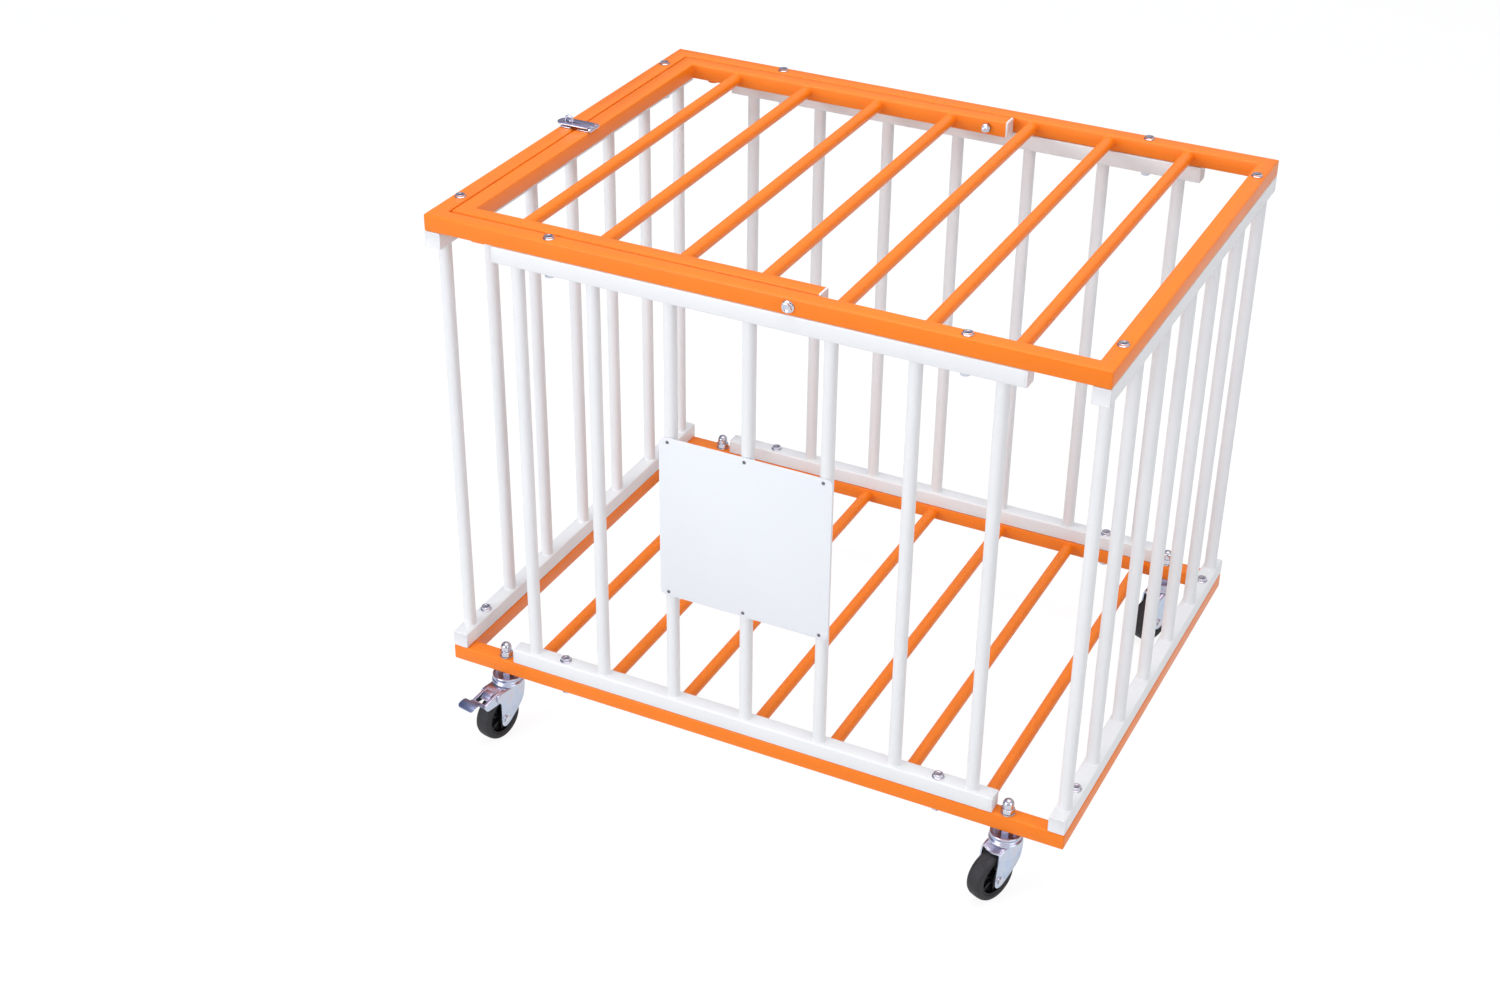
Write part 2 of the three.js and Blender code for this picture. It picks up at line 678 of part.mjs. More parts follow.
function forkSolid(braked) {
  const outline = [
    ...cheekBackShares, ...cheekToeShares, ...(braked ? cheekBrakedFrontShares : cheekPlainFrontShares),
  ];
  const cheekShape = polygon(outline.map(([reach, up]) => [reach * crownTop, up * crownTop]));
  const crownFront = braked ? pedalRear - 2 * seatGap - forkSheet : cheekPlainFrontShares[1][0] * crownTop;
  const crownDip = braked ? 0 : crownClearance / 2;
  const crownBend = crownFront / 2;
  const crownShape = polygon([
    [-crownHalfLength, crownTop], [-crownHalfLength, crownUnder], [crownBend, crownUnder],
    [crownFront, crownUnder - crownDip], [crownFront, crownTop - crownDip], [crownBend, crownTop],
  ]);
  const forkOuter = forkHalf + forkSheet;
  const bossRadius = bossDiameter / 2;
  const solids = [
    sideViewSolid(cheekShape, forkHalf, forkOuter),
    sideViewSolid(cheekShape, -forkOuter, -forkHalf),
    sideViewSolid(crownShape, -forkHalf - forkSheet / 2, forkHalf + forkSheet / 2),
    prismSolid('z', bossRadius, bossTop - crownUnder, hubSides, [0, 0, (bossTop + crownUnder) / 2]),
  ];
  const across = 2 * (forkOuter + overrun);
  const tools = [holeSolid('x', axleDiameter, across, [0, -trail, wheelRadius])];
  if (braked) {
    const pivotZ = crownTop - pedalPivotDrop;
    tools.push(holeSolid('x', pedalPinDiameter, across, [0, -pedalPivotReach, pivotZ]));
  }
  return cut(join(solids), tools);
}

function hubSolid() {
  const bore = (axleDiameter / 2 + holeClearance) / Math.cos(Math.PI / hubSides);
  const bossRadius = hubBossDiameter / 2;
  const bossHalf = forkHalf - seatGap;
  const rimRadius = wheelRadius - tyreDepth - seatGap;
  const rimInner = rimRadius - rimDepth;
  const rimHalf = treadWidth / 2 - rimInset;
  const webHalf = hubWeb / 2;
  const turned = turnedSolid('x', [
    [bore, -bossHalf], [bossRadius, -bossHalf], [bossRadius, -webHalf], [rimInner, -webHalf],
    [rimInner, -rimHalf], [rimRadius, -rimHalf], [rimRadius, rimHalf], [rimInner, rimHalf],
    [rimInner, webHalf], [bossRadius, webHalf], [bossRadius, bossHalf], [bore, bossHalf], [bore, -bossHalf],
  ], hubSides, true);
  const boss = prismSolid('x', bossRadius - hubSpoke / 2, 3 * bossHalf, boreSides, [0, 0, 0]);
  const spokes = [];
  for (let i = 0; i < hubSpokePairs; i += 1) {
    const spoke = new THREE.BoxGeometry(2 * (rimHalf - hubSpoke), hubSpoke, 2 * rimInner + hubSpoke);
    spoke.rotateX(Math.PI * i / hubSpokePairs);
    spokes.push(solidOf(spoke).subtract(boss));
  }
  return join([turned, ...spokes]);
}

// The tyre's facets lie on its true radius, and one of them lies flat on the floor.
function tyreSolid() {
  const facet = 1 / Math.cos(Math.PI / wheelSides);
  const half = treadWidth / 2;
  const inner = wheelRadius - tyreDepth;
  const outer = wheelRadius * facet;
  const shoulder = tyreDepth / 3;
  return turnedSolid('x', [
    [inner, rimInset - half], [outer - shoulder, -half], [outer, shoulder - half],
    [outer, half - shoulder], [outer - shoulder, half], [inner, half - rimInset], [inner, rimInset - half],
  ], wheelSides, true);
}

function axleSolid() {
  const headLow = forkHalf + forkSheet + seatGap;
  const headX = headLow + axleHeadHeight / 2;
  return join([
    prismSolid('x', axleDiameter / 2, 2 * headLow + axleHeadHeight, boreSides, [0, 0, 0]),
    flatPrismSolid('x', axleHexAcross / 2, axleHeadHeight, hexSides, [-headX, 0, 0]),
    flatPrismSolid('x', axleHexAcross / 2, axleHeadHeight, hexSides, [headX, 0, 0]),
  ]);
}

// The brake pedal: a channel between the fork cheeks with a raised lip for the foot, a window with a
// bent tongue over the tyre, and two pins that turn in the cheeks.
function pedalSolid() {
  const half = forkHalf - seatGap;
  const rearTop = crownTop + pedalSheet;
  const frontTop = crownTop - pedalFall;
  const low = frontTop - pedalDepth;
  const slope = (rearTop - frontTop) / (pedalFront - pedalRear);
  const channelShape = polygon([
    [pedalRear, rearTop], [pedalRear + pedalSheet, low],
    [pedalFront - pedalDepth / 2, low], [pedalFront, frontTop],
  ]);
  const hollowShape = polygon([
    [pedalRear - overrun, rearTop + overrun * slope - pedalSheet], [pedalRear - overrun, low - overrun],
    [pedalFront + overrun, low - overrun], [pedalFront + overrun, frontTop - overrun * slope - pedalSheet],
  ]);
  const inner = half - pedalSheet;
  const hollow = sideViewSolid(hollowShape, -inner, inner);
  const channel = sideViewSolid(channelShape, -half, half).subtract(hollow);

  const lipEnd = pedalFront + pedalLipLength;
  const lipTop = frontTop + pedalLipRise;
  const lipHump = pedalFront + pedalLipLength / 3;
  const lipCrest = pedalFront + pedalLipLength / 2;
  const lip = new THREE.Shape();
  lip.moveTo(pedalFront - pedalSheet, frontTop);
  lip.quadraticCurveTo(pedalFront + pedalSheet, frontTop, lipHump - pedalSheet, lipTop - 2 * pedalSheet);
  lip.quadraticCurveTo(lipHump + pedalSheet, lipTop, lipCrest, lipTop);
  lip.quadraticCurveTo(lipEnd - 2 * pedalSheet, lipTop, lipEnd, lipTop - 2 * pedalSheet);
  lip.lineTo(lipEnd - pedalSheet / 2, lipTop - 3 * pedalSheet);
  lip.quadraticCurveTo(lipEnd - 3 * pedalSheet, lipTop - pedalSheet, lipCrest, lipTop - pedalSheet);
  lip.quadraticCurveTo(lipHump + 2 * pedalSheet, lipTop - pedalSheet, lipHump, lipTop - 3 * pedalSheet);
  lip.quadraticCurveTo(
    pedalFront + 2 * pedalSheet, frontTop - pedalSheet, pedalFront - pedalSheet, frontTop - pedalSheet / 2,
  );
  const lipHalf = pedalLipWidth / 2;
  const lipSolid = sideViewSolid(lip, -lipHalf, lipHalf, lipSegments);

  const windowMiddle = (pedalRear + pedalFront) / 2 + 3 * pedalSheet;
  const windowRear = windowMiddle - pedalWindowLength / 2;
  const windowHalf = pedalWindowWidth / 2;
  const window = blockSolid(
    [-windowHalf, -windowMiddle - pedalWindowLength / 2, low],
    [windowHalf, -windowRear, rearTop + overrun],
  );
  const tongueTop = rearTop - slope * (windowRear - pedalRear);
  const tongueShape = polygon([
    [windowRear - pedalSheet, tongueTop], [windowRear - pedalSheet, tongueTop - pedalSheet],
    [windowMiddle - pedalSheet, tongueTop - pedalDepth / 2], [windowMiddle, tongueTop - pedalDepth / 2],
    [windowRear + pedalSheet, tongueTop],
  ]);
  const tongueHalf = windowHalf - pedalSheet;
  const tongue = sideViewSolid(tongueShape, -tongueHalf, tongueHalf);

  const pinEnd = forkHalf + forkSheet + pedalPinProud;
  const pinLength = pinEnd - inner;
  const pinX = (pinEnd + inner) / 2;
  const pivotZ = crownTop - pedalPivotDrop;
  const pins = [-pinX, pinX].map(
    (x) => prismSolid('x', pedalPinDiameter / 2, pinLength, boreSides, [x, -pedalPivotReach, pivotZ]),
  );
  return join([channel.subtract(window), tongue, lipSolid, ...pins]);
}

// Corner name, side of the cage along X and along Y, and how far the trail is turned towards -X.
const casters = [
  { corner: 'front_left', endX: -1, endY: -1, swivel: 11, braked: true },
  { corner: 'front_right', endX: 1, endY: -1, swivel: 22, braked: false },
  { corner: 'rear_left', endX: -1, endY: 1, swivel: 15, braked: true },
  { corner: 'rear_right', endX: 1, endY: 1, swivel: 22, braked: false },
];

function addCasters() {
  for (const { corner, endX, endY, swivel, braked } of casters) {
    const caster = new THREE.Group();
    caster.position.set(endX * casterX, endY * frontY, 0);
    caster.rotation.z = -THREE.MathUtils.degToRad(swivel);
    cart.add(caster);
    addPiece(caster, `caster_stem_${corner}`, stemSolid(), finishes.zinc);
    const nut = addPiece(caster, `dome_nut_${corner}`, domeNutSolid(), finishes.zinc);
    nut.position.z = baseTop + seatGap;
    addPiece(caster, `caster_fork_${corner}`, forkSolid(braked), finishes.zinc);
    const wheel = [
      addPiece(caster, `wheel_hub_${corner}`, hubSolid(), finishes.blackPlastic),
      addPiece(caster, `tyre_${corner}`, tyreSolid(), finishes.rubber),
      addPiece(caster, `axle_${corner}`, axleSolid(), finishes.zinc),
    ];
    for (const piece of wheel) piece.position.set(0, -trail, wheelRadius);
    if (braked) addPiece(caster, `brake_pedal_${corner}`, pedalSolid(), finishes.zinc);
  }
}

addBaseFrame();
addPanels();
addSignPlate();
addTopFrame();
addLid();
addLidCap('lid_cap_front', -lidRailY);
addLidCap('lid_cap_back', lidRailY);
addPivotBolts();
addPanelBolts();
addHasp();
addCasters();

// The origin is at the middle of the whole cart's outline on the floor.
cart.updateMatrixWorld(true);
const outlineBox = new THREE.Box3().setFromObject(cart, true);
const middle = outlineBox.getCenter(new THREE.Vector3());
cart.position.set(-middle.x, -middle.y, -outlineBox.min.z);
cart.updateMatrixWorld(true);

export default cart;
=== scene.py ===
import math

import bmesh
import bpy
from mathutils import Matrix, Vector


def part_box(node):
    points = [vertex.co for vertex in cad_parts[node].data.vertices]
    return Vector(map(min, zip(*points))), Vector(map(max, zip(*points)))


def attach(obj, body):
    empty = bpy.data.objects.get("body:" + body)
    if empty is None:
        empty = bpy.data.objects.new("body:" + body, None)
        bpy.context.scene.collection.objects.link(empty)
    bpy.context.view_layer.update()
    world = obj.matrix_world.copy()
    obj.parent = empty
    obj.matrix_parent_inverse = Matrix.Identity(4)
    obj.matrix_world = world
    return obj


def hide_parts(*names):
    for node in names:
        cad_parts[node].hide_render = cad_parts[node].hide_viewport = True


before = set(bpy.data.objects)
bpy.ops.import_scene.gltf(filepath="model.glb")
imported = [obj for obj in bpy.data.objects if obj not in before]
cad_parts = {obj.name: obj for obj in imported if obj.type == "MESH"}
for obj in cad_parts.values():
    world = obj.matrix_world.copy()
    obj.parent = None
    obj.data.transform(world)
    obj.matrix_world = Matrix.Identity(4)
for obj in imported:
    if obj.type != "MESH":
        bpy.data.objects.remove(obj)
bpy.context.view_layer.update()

baseLow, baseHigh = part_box("base_frame")
cageMiddle = Vector(((baseLow.x + baseHigh.x) / 2, (baseLow.y + baseHigh.y) / 2, 0))

# Sizes are in millimetres from the middle of the cage on the floor.
mm = 0.001
mergeReach = 0.004 * mm
fullTurn = 2 * math.pi
quarterTurn = math.pi / 2


def spot(x, y, z):
    return Vector((x, y, z)) * mm


# Working in object and edit mode


def useOnly(obj):
    bpy.ops.object.select_all(action="DESELECT")
    obj.select_set(True)
    bpy.context.view_layer.objects.active = obj


def keepPlace(obj):
    useOnly(obj)
    bpy.ops.object.transform_apply(location=True, rotation=True, scale=True)
    return obj


def openEdit(obj, kind="FACE"):
    useOnly(obj)
    bpy.ops.object.mode_set(mode="EDIT")
    bpy.ops.mesh.select_mode(type=kind)
    bpy.ops.mesh.select_all(action="DESELECT")
    return bmesh.from_edit_mesh(obj.data)


def closeEdit():
    bpy.ops.object.mode_set(mode="OBJECT")


def selectAll():
    bpy.ops.mesh.select_all(action="SELECT")


# Selects what passes a test: corners by place, edges by middle and direction, faces by middle and normal
def pick(obj, kind, test):
    shape = openEdit(obj, kind)
    for part in {"VERT": shape.verts, "EDGE": shape.edges, "FACE": shape.faces}[kind]:
        if kind == "VERT":
            measures = [part.co / mm]
        elif kind == "EDGE":
            start, end = (vert.co / mm for vert in part.verts)
            measures = [(start + end) / 2, (end - start).normalized()]
        else:
            measures = [part.calc_center_median() / mm, part.normal]
        if test(*measures):
            part.select_set(True)
    bmesh.update_edit_mesh(obj.data)


# A test for edges or faces that point along one axis
def along(axis):
    return lambda place, way: abs(getattr(way, axis)) > 0.9


def bevelPicked(obj, kind, width, steps, test):
    pick(obj, kind, test)
    bpy.ops.mesh.bevel(offset=width * mm, segments=steps, affect="EDGES")
    closeEdit()


def lowerPicked(obj, drop, test):
    pick(obj, "VERT", test)
    bpy.ops.transform.translate(value=spot(0, 0, -drop))
    closeEdit()


def extrude(move):
    bpy.ops.mesh.extrude_region_move(TRANSFORM_OT_translate={"value": move})


def cutAlong(obj, place, normal, **settings):
    openEdit(obj)
    selectAll()
    bpy.ops.mesh.bisect(plane_co=spot(*place), plane_no=normal, **settings)
    closeEdit()


def applyModifier(obj, kind, **settings):
    useOnly(obj)
    modifier = obj.modifiers.new(kind.title(), kind)
    for name, value in settings.items():
        setattr(modifier, name, value)
    bpy.ops.object.modifier_apply(modifier=modifier.name)
    return obj


def softenEdges(obj, width, segments=2, angle=30):
    return applyModifier(obj, "BEVEL", width=width * mm, segments=segments, limit_method="ANGLE",
                         angle_limit=math.radians(angle), harden_normals=False)


def thicken(obj, thickness, side):
    return applyModifier(obj, "SOLIDIFY", thickness=thickness * mm, offset=side, use_even_offset=True)


def discard(*shapes):
    for shape in shapes:
        bpy.data.objects.remove(shape, do_unlink=True)


def combine(obj, tool, operation):
    applyModifier(obj, "BOOLEAN", operation=operation, solver="EXACT", object=tool)
    discard(tool)
    return obj


def joinAll(parts):
    bpy.ops.object.select_all(action="DESELECT")
    for part in parts:
        part.select_set(True)
    bpy.context.view_layer.objects.active = parts[0]
    bpy.ops.object.join()
    return bpy.context.object


def copyOf(obj, move=Matrix.Identity(4)):
    made = obj.copy()
    made.data = obj.data.copy()
    made.data.transform(move)
    bpy.context.scene.collection.objects.link(made)
    return made


def shift(x, y, z):
    return Matrix.Translation(spot(x, y, z))


def turn(angle, axis):
    return Matrix.Rotation(angle, 4, axis)


# Starting shapes: blocks, bars and rings


def block(low, high):
    centre = [(a + b) / 2 for a, b in zip(low, high)]
    bpy.ops.mesh.primitive_cube_add(size=mm, location=spot(*centre))
    made = bpy.context.object
    made.scale = [b - a for a, b in zip(low, high)]
    return keepPlace(made)


def roundBar(start, end, radius, sides=40):
    first, last = spot(*start), spot(*end)
    bpy.ops.mesh.primitive_cylinder_add(vertices=sides, radius=radius * mm, depth=(last - first).length,
                                        location=(first + last) / 2)
    made = bpy.context.object
    made.rotation_euler = (last - first).to_track_quat("Z", "Y").to_euler()
    return keepPlace(made)


def ringAt(place, facing, radius, thickness, steps, roundSteps):
    bpy.ops.mesh.primitive_torus_add(
        major_radius=radius * mm, minor_radius=thickness * mm, major_segments=steps,
        minor_segments=roundSteps, location=spot(*place), rotation=facing,
    )
    return keepPlace(bpy.context.object)


def drawLine(points):
    bpy.ops.mesh.primitive_plane_add(size=mm, location=points[0])
    made = keepPlace(bpy.context.object)
    openEdit(made, "VERT")
    selectAll()
    bpy.ops.mesh.merge(type="CENTER")
    for before, after in zip(points, points[1:]):
        extrude(after - before)
    selectAll()
    return made


def tidyShell():
    selectAll()
    bpy.ops.mesh.remove_doubles(threshold=mergeReach)
    bpy.ops.mesh.normals_make_consistent(inside=False)
    closeEdit()


def turned(profile, steps=48):
    made = drawLine([spot(radius, 0, height) for radius, height in profile])
    bpy.ops.mesh.spin(steps=steps, angle=fullTurn, center=(0, 0, 0), axis=(0, 0, 1))
    tidyShell()
    return made


# A flat outline raised along one direction. The outline's points are in order and end where they start.
def raised(points, direction):
    made = drawLine([spot(*point) for point in points + points[:1]])
    bpy.ops.mesh.remove_doubles(threshold=mergeReach)
    bpy.ops.mesh.edge_face_add()
    extrude(spot(*direction))
    tidyShell()
    return made


# A bent strip: a line in the side view, drawn out to both sides and given its thickness.
def bentStrip(line, half, thickness):
    made = drawLine([spot(-half, -reach, height) for reach, height in line])
    extrude(spot(2 * half, 0, 0))
    closeEdit()
    return thicken(made, thickness, 1)


# A smooth line through a few points.
def smoothLine(points, steps=5):
    made = []
    for i in range(len(points) - 1):
        p0, p1 = Vector(points[max(i - 1, 0)]), Vector(points[i])
        p2, p3 = Vector(points[i + 1]), Vector(points[min(i + 2, len(points) - 1)])
        for step in range(steps):
            t = step / steps
            bend = 2 * p1 + (p2 - p0) * t + (2 * p0 - 5 * p1 + 4 * p2 - p3) * t * t
            made.append(tuple((bend + (3 * p1 - p0 - 3 * p2 + p3) * t * t * t) / 2))
    return made + [tuple(points[-1])]


def spread(count, inset, whole):
    pitch = (whole - 2 * inset) / (count - 1)
    return [inset - whole / 2 + pitch * i for i in range(count)]


# Shader nodes. Each input takes a number, a colour or the output of another node.


def feed(node, inputs):
    for label, value in inputs.items():
        socket = node.inputs[label]
        if isinstance(value, bpy.types.NodeSocket):
            node.id_data.links.new(value, socket)
        elif socket.type == "RGBA":
            socket.default_value = (*value, 1.0)
        else:
            socket.default_value = value


def addNode(tree, kind, inputs={}, **settings):
    node = tree.nodes.new(f"ShaderNode{kind}")
    for name, value in settings.items():
        setattr(node, name, value)
    feed(node, inputs)
    return node


def objectCoords(tree):
    return addNode(tree, "TexCoord").outputs["Object"]


def noise(tree, coords, scale, detail, rough=0.5):
    inputs = {"Vector": coords, "Scale": scale, "Detail": detail, "Roughness": rough}
    return addNode(tree, "TexNoise", inputs).outputs["Fac"]


def spanned(tree, source, fromLow, fromHigh, toLow=0.0, toHigh=1.0):
    inputs = {"Value": source, "From Min": fromLow, "From Max": fromHigh, "To Min": toLow, "To Max": toHigh}
    return addNode(tree, "MapRange", inputs).outputs["Result"]


def times(tree, first, second):
    return addNode(tree, "Math", {0: first, 1: second}, operation="MULTIPLY").outputs["Value"]


def mixColour(tree, factor, first, second, blend="MIX"):
    inputs = {0: factor, 6: first, 7: second}
    return addNode(tree, "Mix", inputs, data_type="RGBA", blend_type=blend).outputs[2]


def mixShader(tree, factor, first, second):
    return addNode(tree, "MixShader", {0: factor, 1: first, 2: second}).outputs["Shader"]


def addRamp(tree, source, stops):
    ramp = addNode(tree, "ValToRGB", {"Fac": source})
    first, *middle, last = stops
    marks = ramp.color_ramp.elements
    marks[0].position, marks[0].color = first[0], (*first[1], 1.0)
    marks[1].position, marks[1].color = last[0], (*last[1], 1.0)
    for position, colour in middle:
        marks.new(position).color = (*colour, 1.0)
    return ramp.outputs["Color"]


def addBump(tree, shader, height, strength, distance):
    inputs = {"Strength": strength, "Distance": distance * mm, "Height": height}
    feed(shader, {"Normal": addNode(tree, "Bump", inputs).outputs["Normal"]})


def newGroup(name, inputs, outputs):
    group = bpy.data.node_groups.new(name, "ShaderNodeTree")
    for way, labels in (("INPUT", inputs), ("OUTPUT", outputs)):
        for label in labels:
            group.interface.new_socket(label, in_out=way, socket_type="NodeSocketFloat")
    return group, group.nodes.new("NodeGroupInput").outputs, group.nodes.new("NodeGroupOutput")


noiseSpan = (0.3, 0.7)
wearAndHighlight = {"samples": 4, "starts": 0.995, "full": 0.86, "least": 0.35}
speckle = {"scale": 160.0, "span": (0.74, 0.8)}


# Worn edges and a painted edge highlight: paler colour where the rounded normal leaves the true one, broken
# up in patches
def makeEdgeGroup():
    group, given, end = newGroup("edgeWearAndHighlight", ["Width", "Patches"], ["Mask"])
    bevel = addNode(group, "Bevel", {"Radius": given["Width"]}, samples=wearAndHighlight["samples"])
    flat = addNode(group, "NewGeometry")
    dot = addNode(group, "VectorMath", {0: bevel.outputs["Normal"], 1: flat.outputs["Normal"]},
                  operation="DOT_PRODUCT")
    edge = spanned(group, dot.outputs["Value"], wearAndHighlight["starts"], wearAndHighlight["full"])
    patches = noise(group, objectCoords(group), given["Patches"], 3.0)
    feed(end, {"Mask": times(group, edge, spanned(group, patches, *noiseSpan, wearAndHighlight["least"], 1.0))})
    return group


# Grain: a fine height, soft clouds in colour and gloss, and a few specks
def makeGrainGroup():
    group, given, end = newGroup("paintGrain", ["Grain", "Cloud", "Rough Low", "Rough High"],
                                 ["Height", "Cloud", "Roughness", "Specks"])
    coords = objectCoords(group)
    wide = noise(group, coords, given["Cloud"], 4.0, 0.6)
    feed(end, {
        "Height": noise(group, coords, given["Grain"], 2.0),
        "Cloud": spanned(group, wide, *noiseSpan),
        "Roughness": spanned(group, wide, *noiseSpan, given["Rough Low"], given["Rough High"]),
        "Specks": spanned(group, noise(group, coords, speckle["scale"], 1.0), *speckle["span"]),
    })
    return group


edgeWearAndHighlight = makeEdgeGroup()
paintGrain = makeGrainGroup()
print("shader groups made")


def newLook(name, slot):
    look = bpy.data.materials.new(name)
    look.use_nodes = True
    look["slotName"] = slot
    return look, look.node_tree, look.node_tree.nodes["Principled BSDF"]


def edgeMask(tree, width, patches, share):
    inputs = {"Width": width * mm, "Patches": patches}
    mask = addNode(tree, "Group", inputs, node_tree=edgeWearAndHighlight).outputs["Mask"]
    return times(tree, mask, share)


# Grain, clouds and worn edges with a painted edge highlight over one colour: the start of every paint, rubber
# and plastic
def grainyBody(tree, shader, finish, depth):
    low, high = finish["rough"]
    inputs = {"Grain": finish["grain"], "Cloud": finish["cloud"], "Rough Low": low, "Rough High": high}
    grain = addNode(tree, "Group", inputs, node_tree=paintGrain).outputs
    body = mixColour(tree, grain["Cloud"], finish["colour"], finish["cloudColour"])
    edge = edgeMask(tree, finish["edgeWidth"], finish["patches"], finish["edgeShare"])
    feed(shader, {"Roughness": grain["Roughness"], "Specular IOR Level": finish["shine"]})
    addBump(tree, shader, grain["Height"], finish["bump"], depth)
    return grain["Specks"], mixColour(tree, edge, body, finish["edgeColour"])


# Powder coat: fine orange peel, slight clouding, paler edges that are partly thin paint and partly a painted
# highlight, and a few specks.
def makePaint(name, slot, paint):
    look, tree, shader = newLook(name, slot)
    specks, wornAndHighlit = grainyBody(tree, shader, paint, 0.12)
    speckled = mixColour(tree, times(tree, specks, paint["speckShare"]), wornAndHighlit, paint["speckColour"])
    feed(shader, {"Base Color": speckled, "Coat Weight": paint["coat"], "Coat Roughness": 0.16})
    return look


orangePaint = makePaint("orangePaint", "orange_paint", {
    "colour": (0.92, 0.206, 0.008), "cloudColour": (0.95, 0.222, 0.010), "edgeColour": (1.0, 0.33, 0.05),
    "speckColour": (0.62, 0.12, 0.006), "speckShare": 0.3, "edgeShare": 0.45, "edgeWidth": 1.2,
    "grain": 700.0, "cloud": 9.0, "patches": 40.0, "rough": (0.3, 0.42), "shine": 0.32, "coat": 0.04,
    "bump": 0.16,
})
whitePaint = makePaint("whitePaint", "white_paint", {
    "colour": (0.80, 0.81, 0.83), "cloudColour": (0.83, 0.838, 0.855), "edgeColour": (0.87, 0.875, 0.885),
    "speckColour": (0.55, 0.54, 0.56), "speckShare": 0.12, "edgeShare": 0.5, "edgeWidth": 1.2,
    "grain": 700.0, "cloud": 7.0, "patches": 40.0, "rough": (0.32, 0.46), "shine": 0.5, "coat": 0.2,
    "bump": 0.14,
})
capPlastic = makePaint("capPlastic", "white_plastic", {
    "colour": (0.78, 0.78, 0.81), "cloudColour": (0.81, 0.81, 0.83), "edgeColour": (0.86, 0.86, 0.88),
    "speckColour": (0.6, 0.59, 0.62), "speckShare": 0.2, "edgeShare": 0.4, "edgeWidth": 0.8,
    "grain": 2200.0, "cloud": 30.0, "patches": 90.0, "rough": (0.36, 0.48), "shine": 0.5, "coat": 0.0,
    "bump": 0.08,
})
signSheet = makePaint("signSheet", "sign_board", {
    "colour": (0.80, 0.82, 0.86), "cloudColour": (0.81, 0.83, 0.865), "edgeColour": (0.87, 0.88, 0.91),
    "speckColour": (0.66, 0.67, 0.7), "speckShare": 0.12, "edgeShare": 0.6, "edgeWidth": 0.8,
    "grain": 420.0, "cloud": 4.0, "patches": 60.0, "rough": (0.34, 0.38), "shine": 0.26, "coat": 0.0,
    "bump": 0.03,
})
print("paints made")


# Zinc plating: blue and pink clouds, a painted shade and reflection where it faces up, fine scratches, and
# bright edges that are partly wear and partly a painted highlight.
plating = {"blue": 0.3, "plain": 0.5, "pink": 0.72, "topShadeSpan": (0.35, 0.85), "patches": 120.0,
           "edgeShare": 0.6, "stretch": (1.0, 9.0, 1.0), "scratchSpan": (0.35, 0.65), "bump": 0.1,
           "depth": 0.05}


def makeZinc(name, zinc):
    look, tree, shader = newLook(name, "zinc")
    coords = objectCoords(tree)
    wide = noise(tree, coords, zinc["cloud"], 3.0, 0.55)
    tint = addRamp(tree, wide, [(plating[part], zinc[part]) for part in ("blue", "plain", "pink")])
    # Faces that point up take the darker top colours: a painted shade and reflection
    normal = addNode(tree, "NewGeometry").outputs["Normal"]
    rise = addNode(tree, "SeparateXYZ", {"Vector": normal}).outputs["Z"]
    paintedTopShade = mixColour(tree, wide, zinc["top"], zinc["topShadeCloud"])
    cloudsWithTopShade = mixColour(tree, spanned(tree, rise, *plating["topShadeSpan"]), tint, paintedTopShade)
    edge = edgeMask(tree, zinc["edgeWidth"], plating["patches"], plating["edgeShare"])
    stretch = addNode(tree, "Mapping", {"Vector": coords, "Scale": plating["stretch"]})
    scratch = noise(tree, stretch.outputs["Vector"], zinc["scratch"], 4.0, 0.7)
    rough = spanned(tree, scratch, *plating["scratchSpan"], *zinc["rough"])
    wornAndHighlit = mixColour(tree, edge, cloudsWithTopShade, zinc["edge"])
    feed(shader, {"Base Color": wornAndHighlit, "Roughness": rough, "Metallic": 1.0})
    addBump(tree, shader, scratch, plating["bump"], plating["depth"])
    return look


brightZinc = makeZinc("brightZinc", {
    "blue": (0.50, 0.60, 0.78), "pink": (0.64, 0.61, 0.69), "plain": (0.58, 0.65, 0.77),
    "edge": (0.88, 0.91, 0.96), "top": (0.38, 0.29, 0.40), "topShadeCloud": (0.46, 0.43, 0.53),
    "cloud": 55.0, "scratch": 260.0, "rough": (0.26, 0.4), "edgeWidth": 0.7,
})
# The lip's zinc is a darker copy of the bright zinc: painted shade and dark reflection on the rolled-down lip
shadedLipZinc = makeZinc("shadedLipZinc", {
    "blue": (0.12, 0.18, 0.36), "pink": (0.26, 0.24, 0.34), "plain": (0.17, 0.22, 0.38),
    "edge": (0.7, 0.74, 0.84), "top": (0.16, 0.18, 0.30), "topShadeCloud": (0.24, 0.25, 0.36),
    "cloud": 45.0, "scratch": 260.0, "rough": (0.3, 0.45), "edgeWidth": 0.6,
})
boltZinc = makeZinc("boltZinc", {
    "blue": (0.56, 0.62, 0.76), "pink": (0.68, 0.62, 0.66), "plain": (0.64, 0.67, 0.74),
    "edge": (0.92, 0.93, 0.95), "top": (0.42, 0.36, 0.40), "topShadeCloud": (0.52, 0.48, 0.52),
    "cloud": 130.0, "scratch": 420.0, "rough": (0.14, 0.28), "edgeWidth": 0.4,
})
darkScrew = makeZinc("darkScrew", {
    "blue": (0.16, 0.17, 0.2), "pink": (0.22, 0.2, 0.2), "plain": (0.2, 0.2, 0.22),
    "edge": (0.5, 0.5, 0.52), "top": (0.16, 0.15, 0.17), "topShadeCloud": (0.2, 0.19, 0.21),
    "cloud": 200.0, "scratch": 600.0, "rough": (0.3, 0.45), "edgeWidth": 0.25,
})


# Rubber and moulded plastic: matt grain with paler edges, partly wear and partly a painted highlight.
def makeMoulded(name, slot, mould):
    look, tree, shader = newLook(name, slot)
    feed(shader, {"Base Color": grainyBody(tree, shader, mould, 0.2)[1]})
    return look


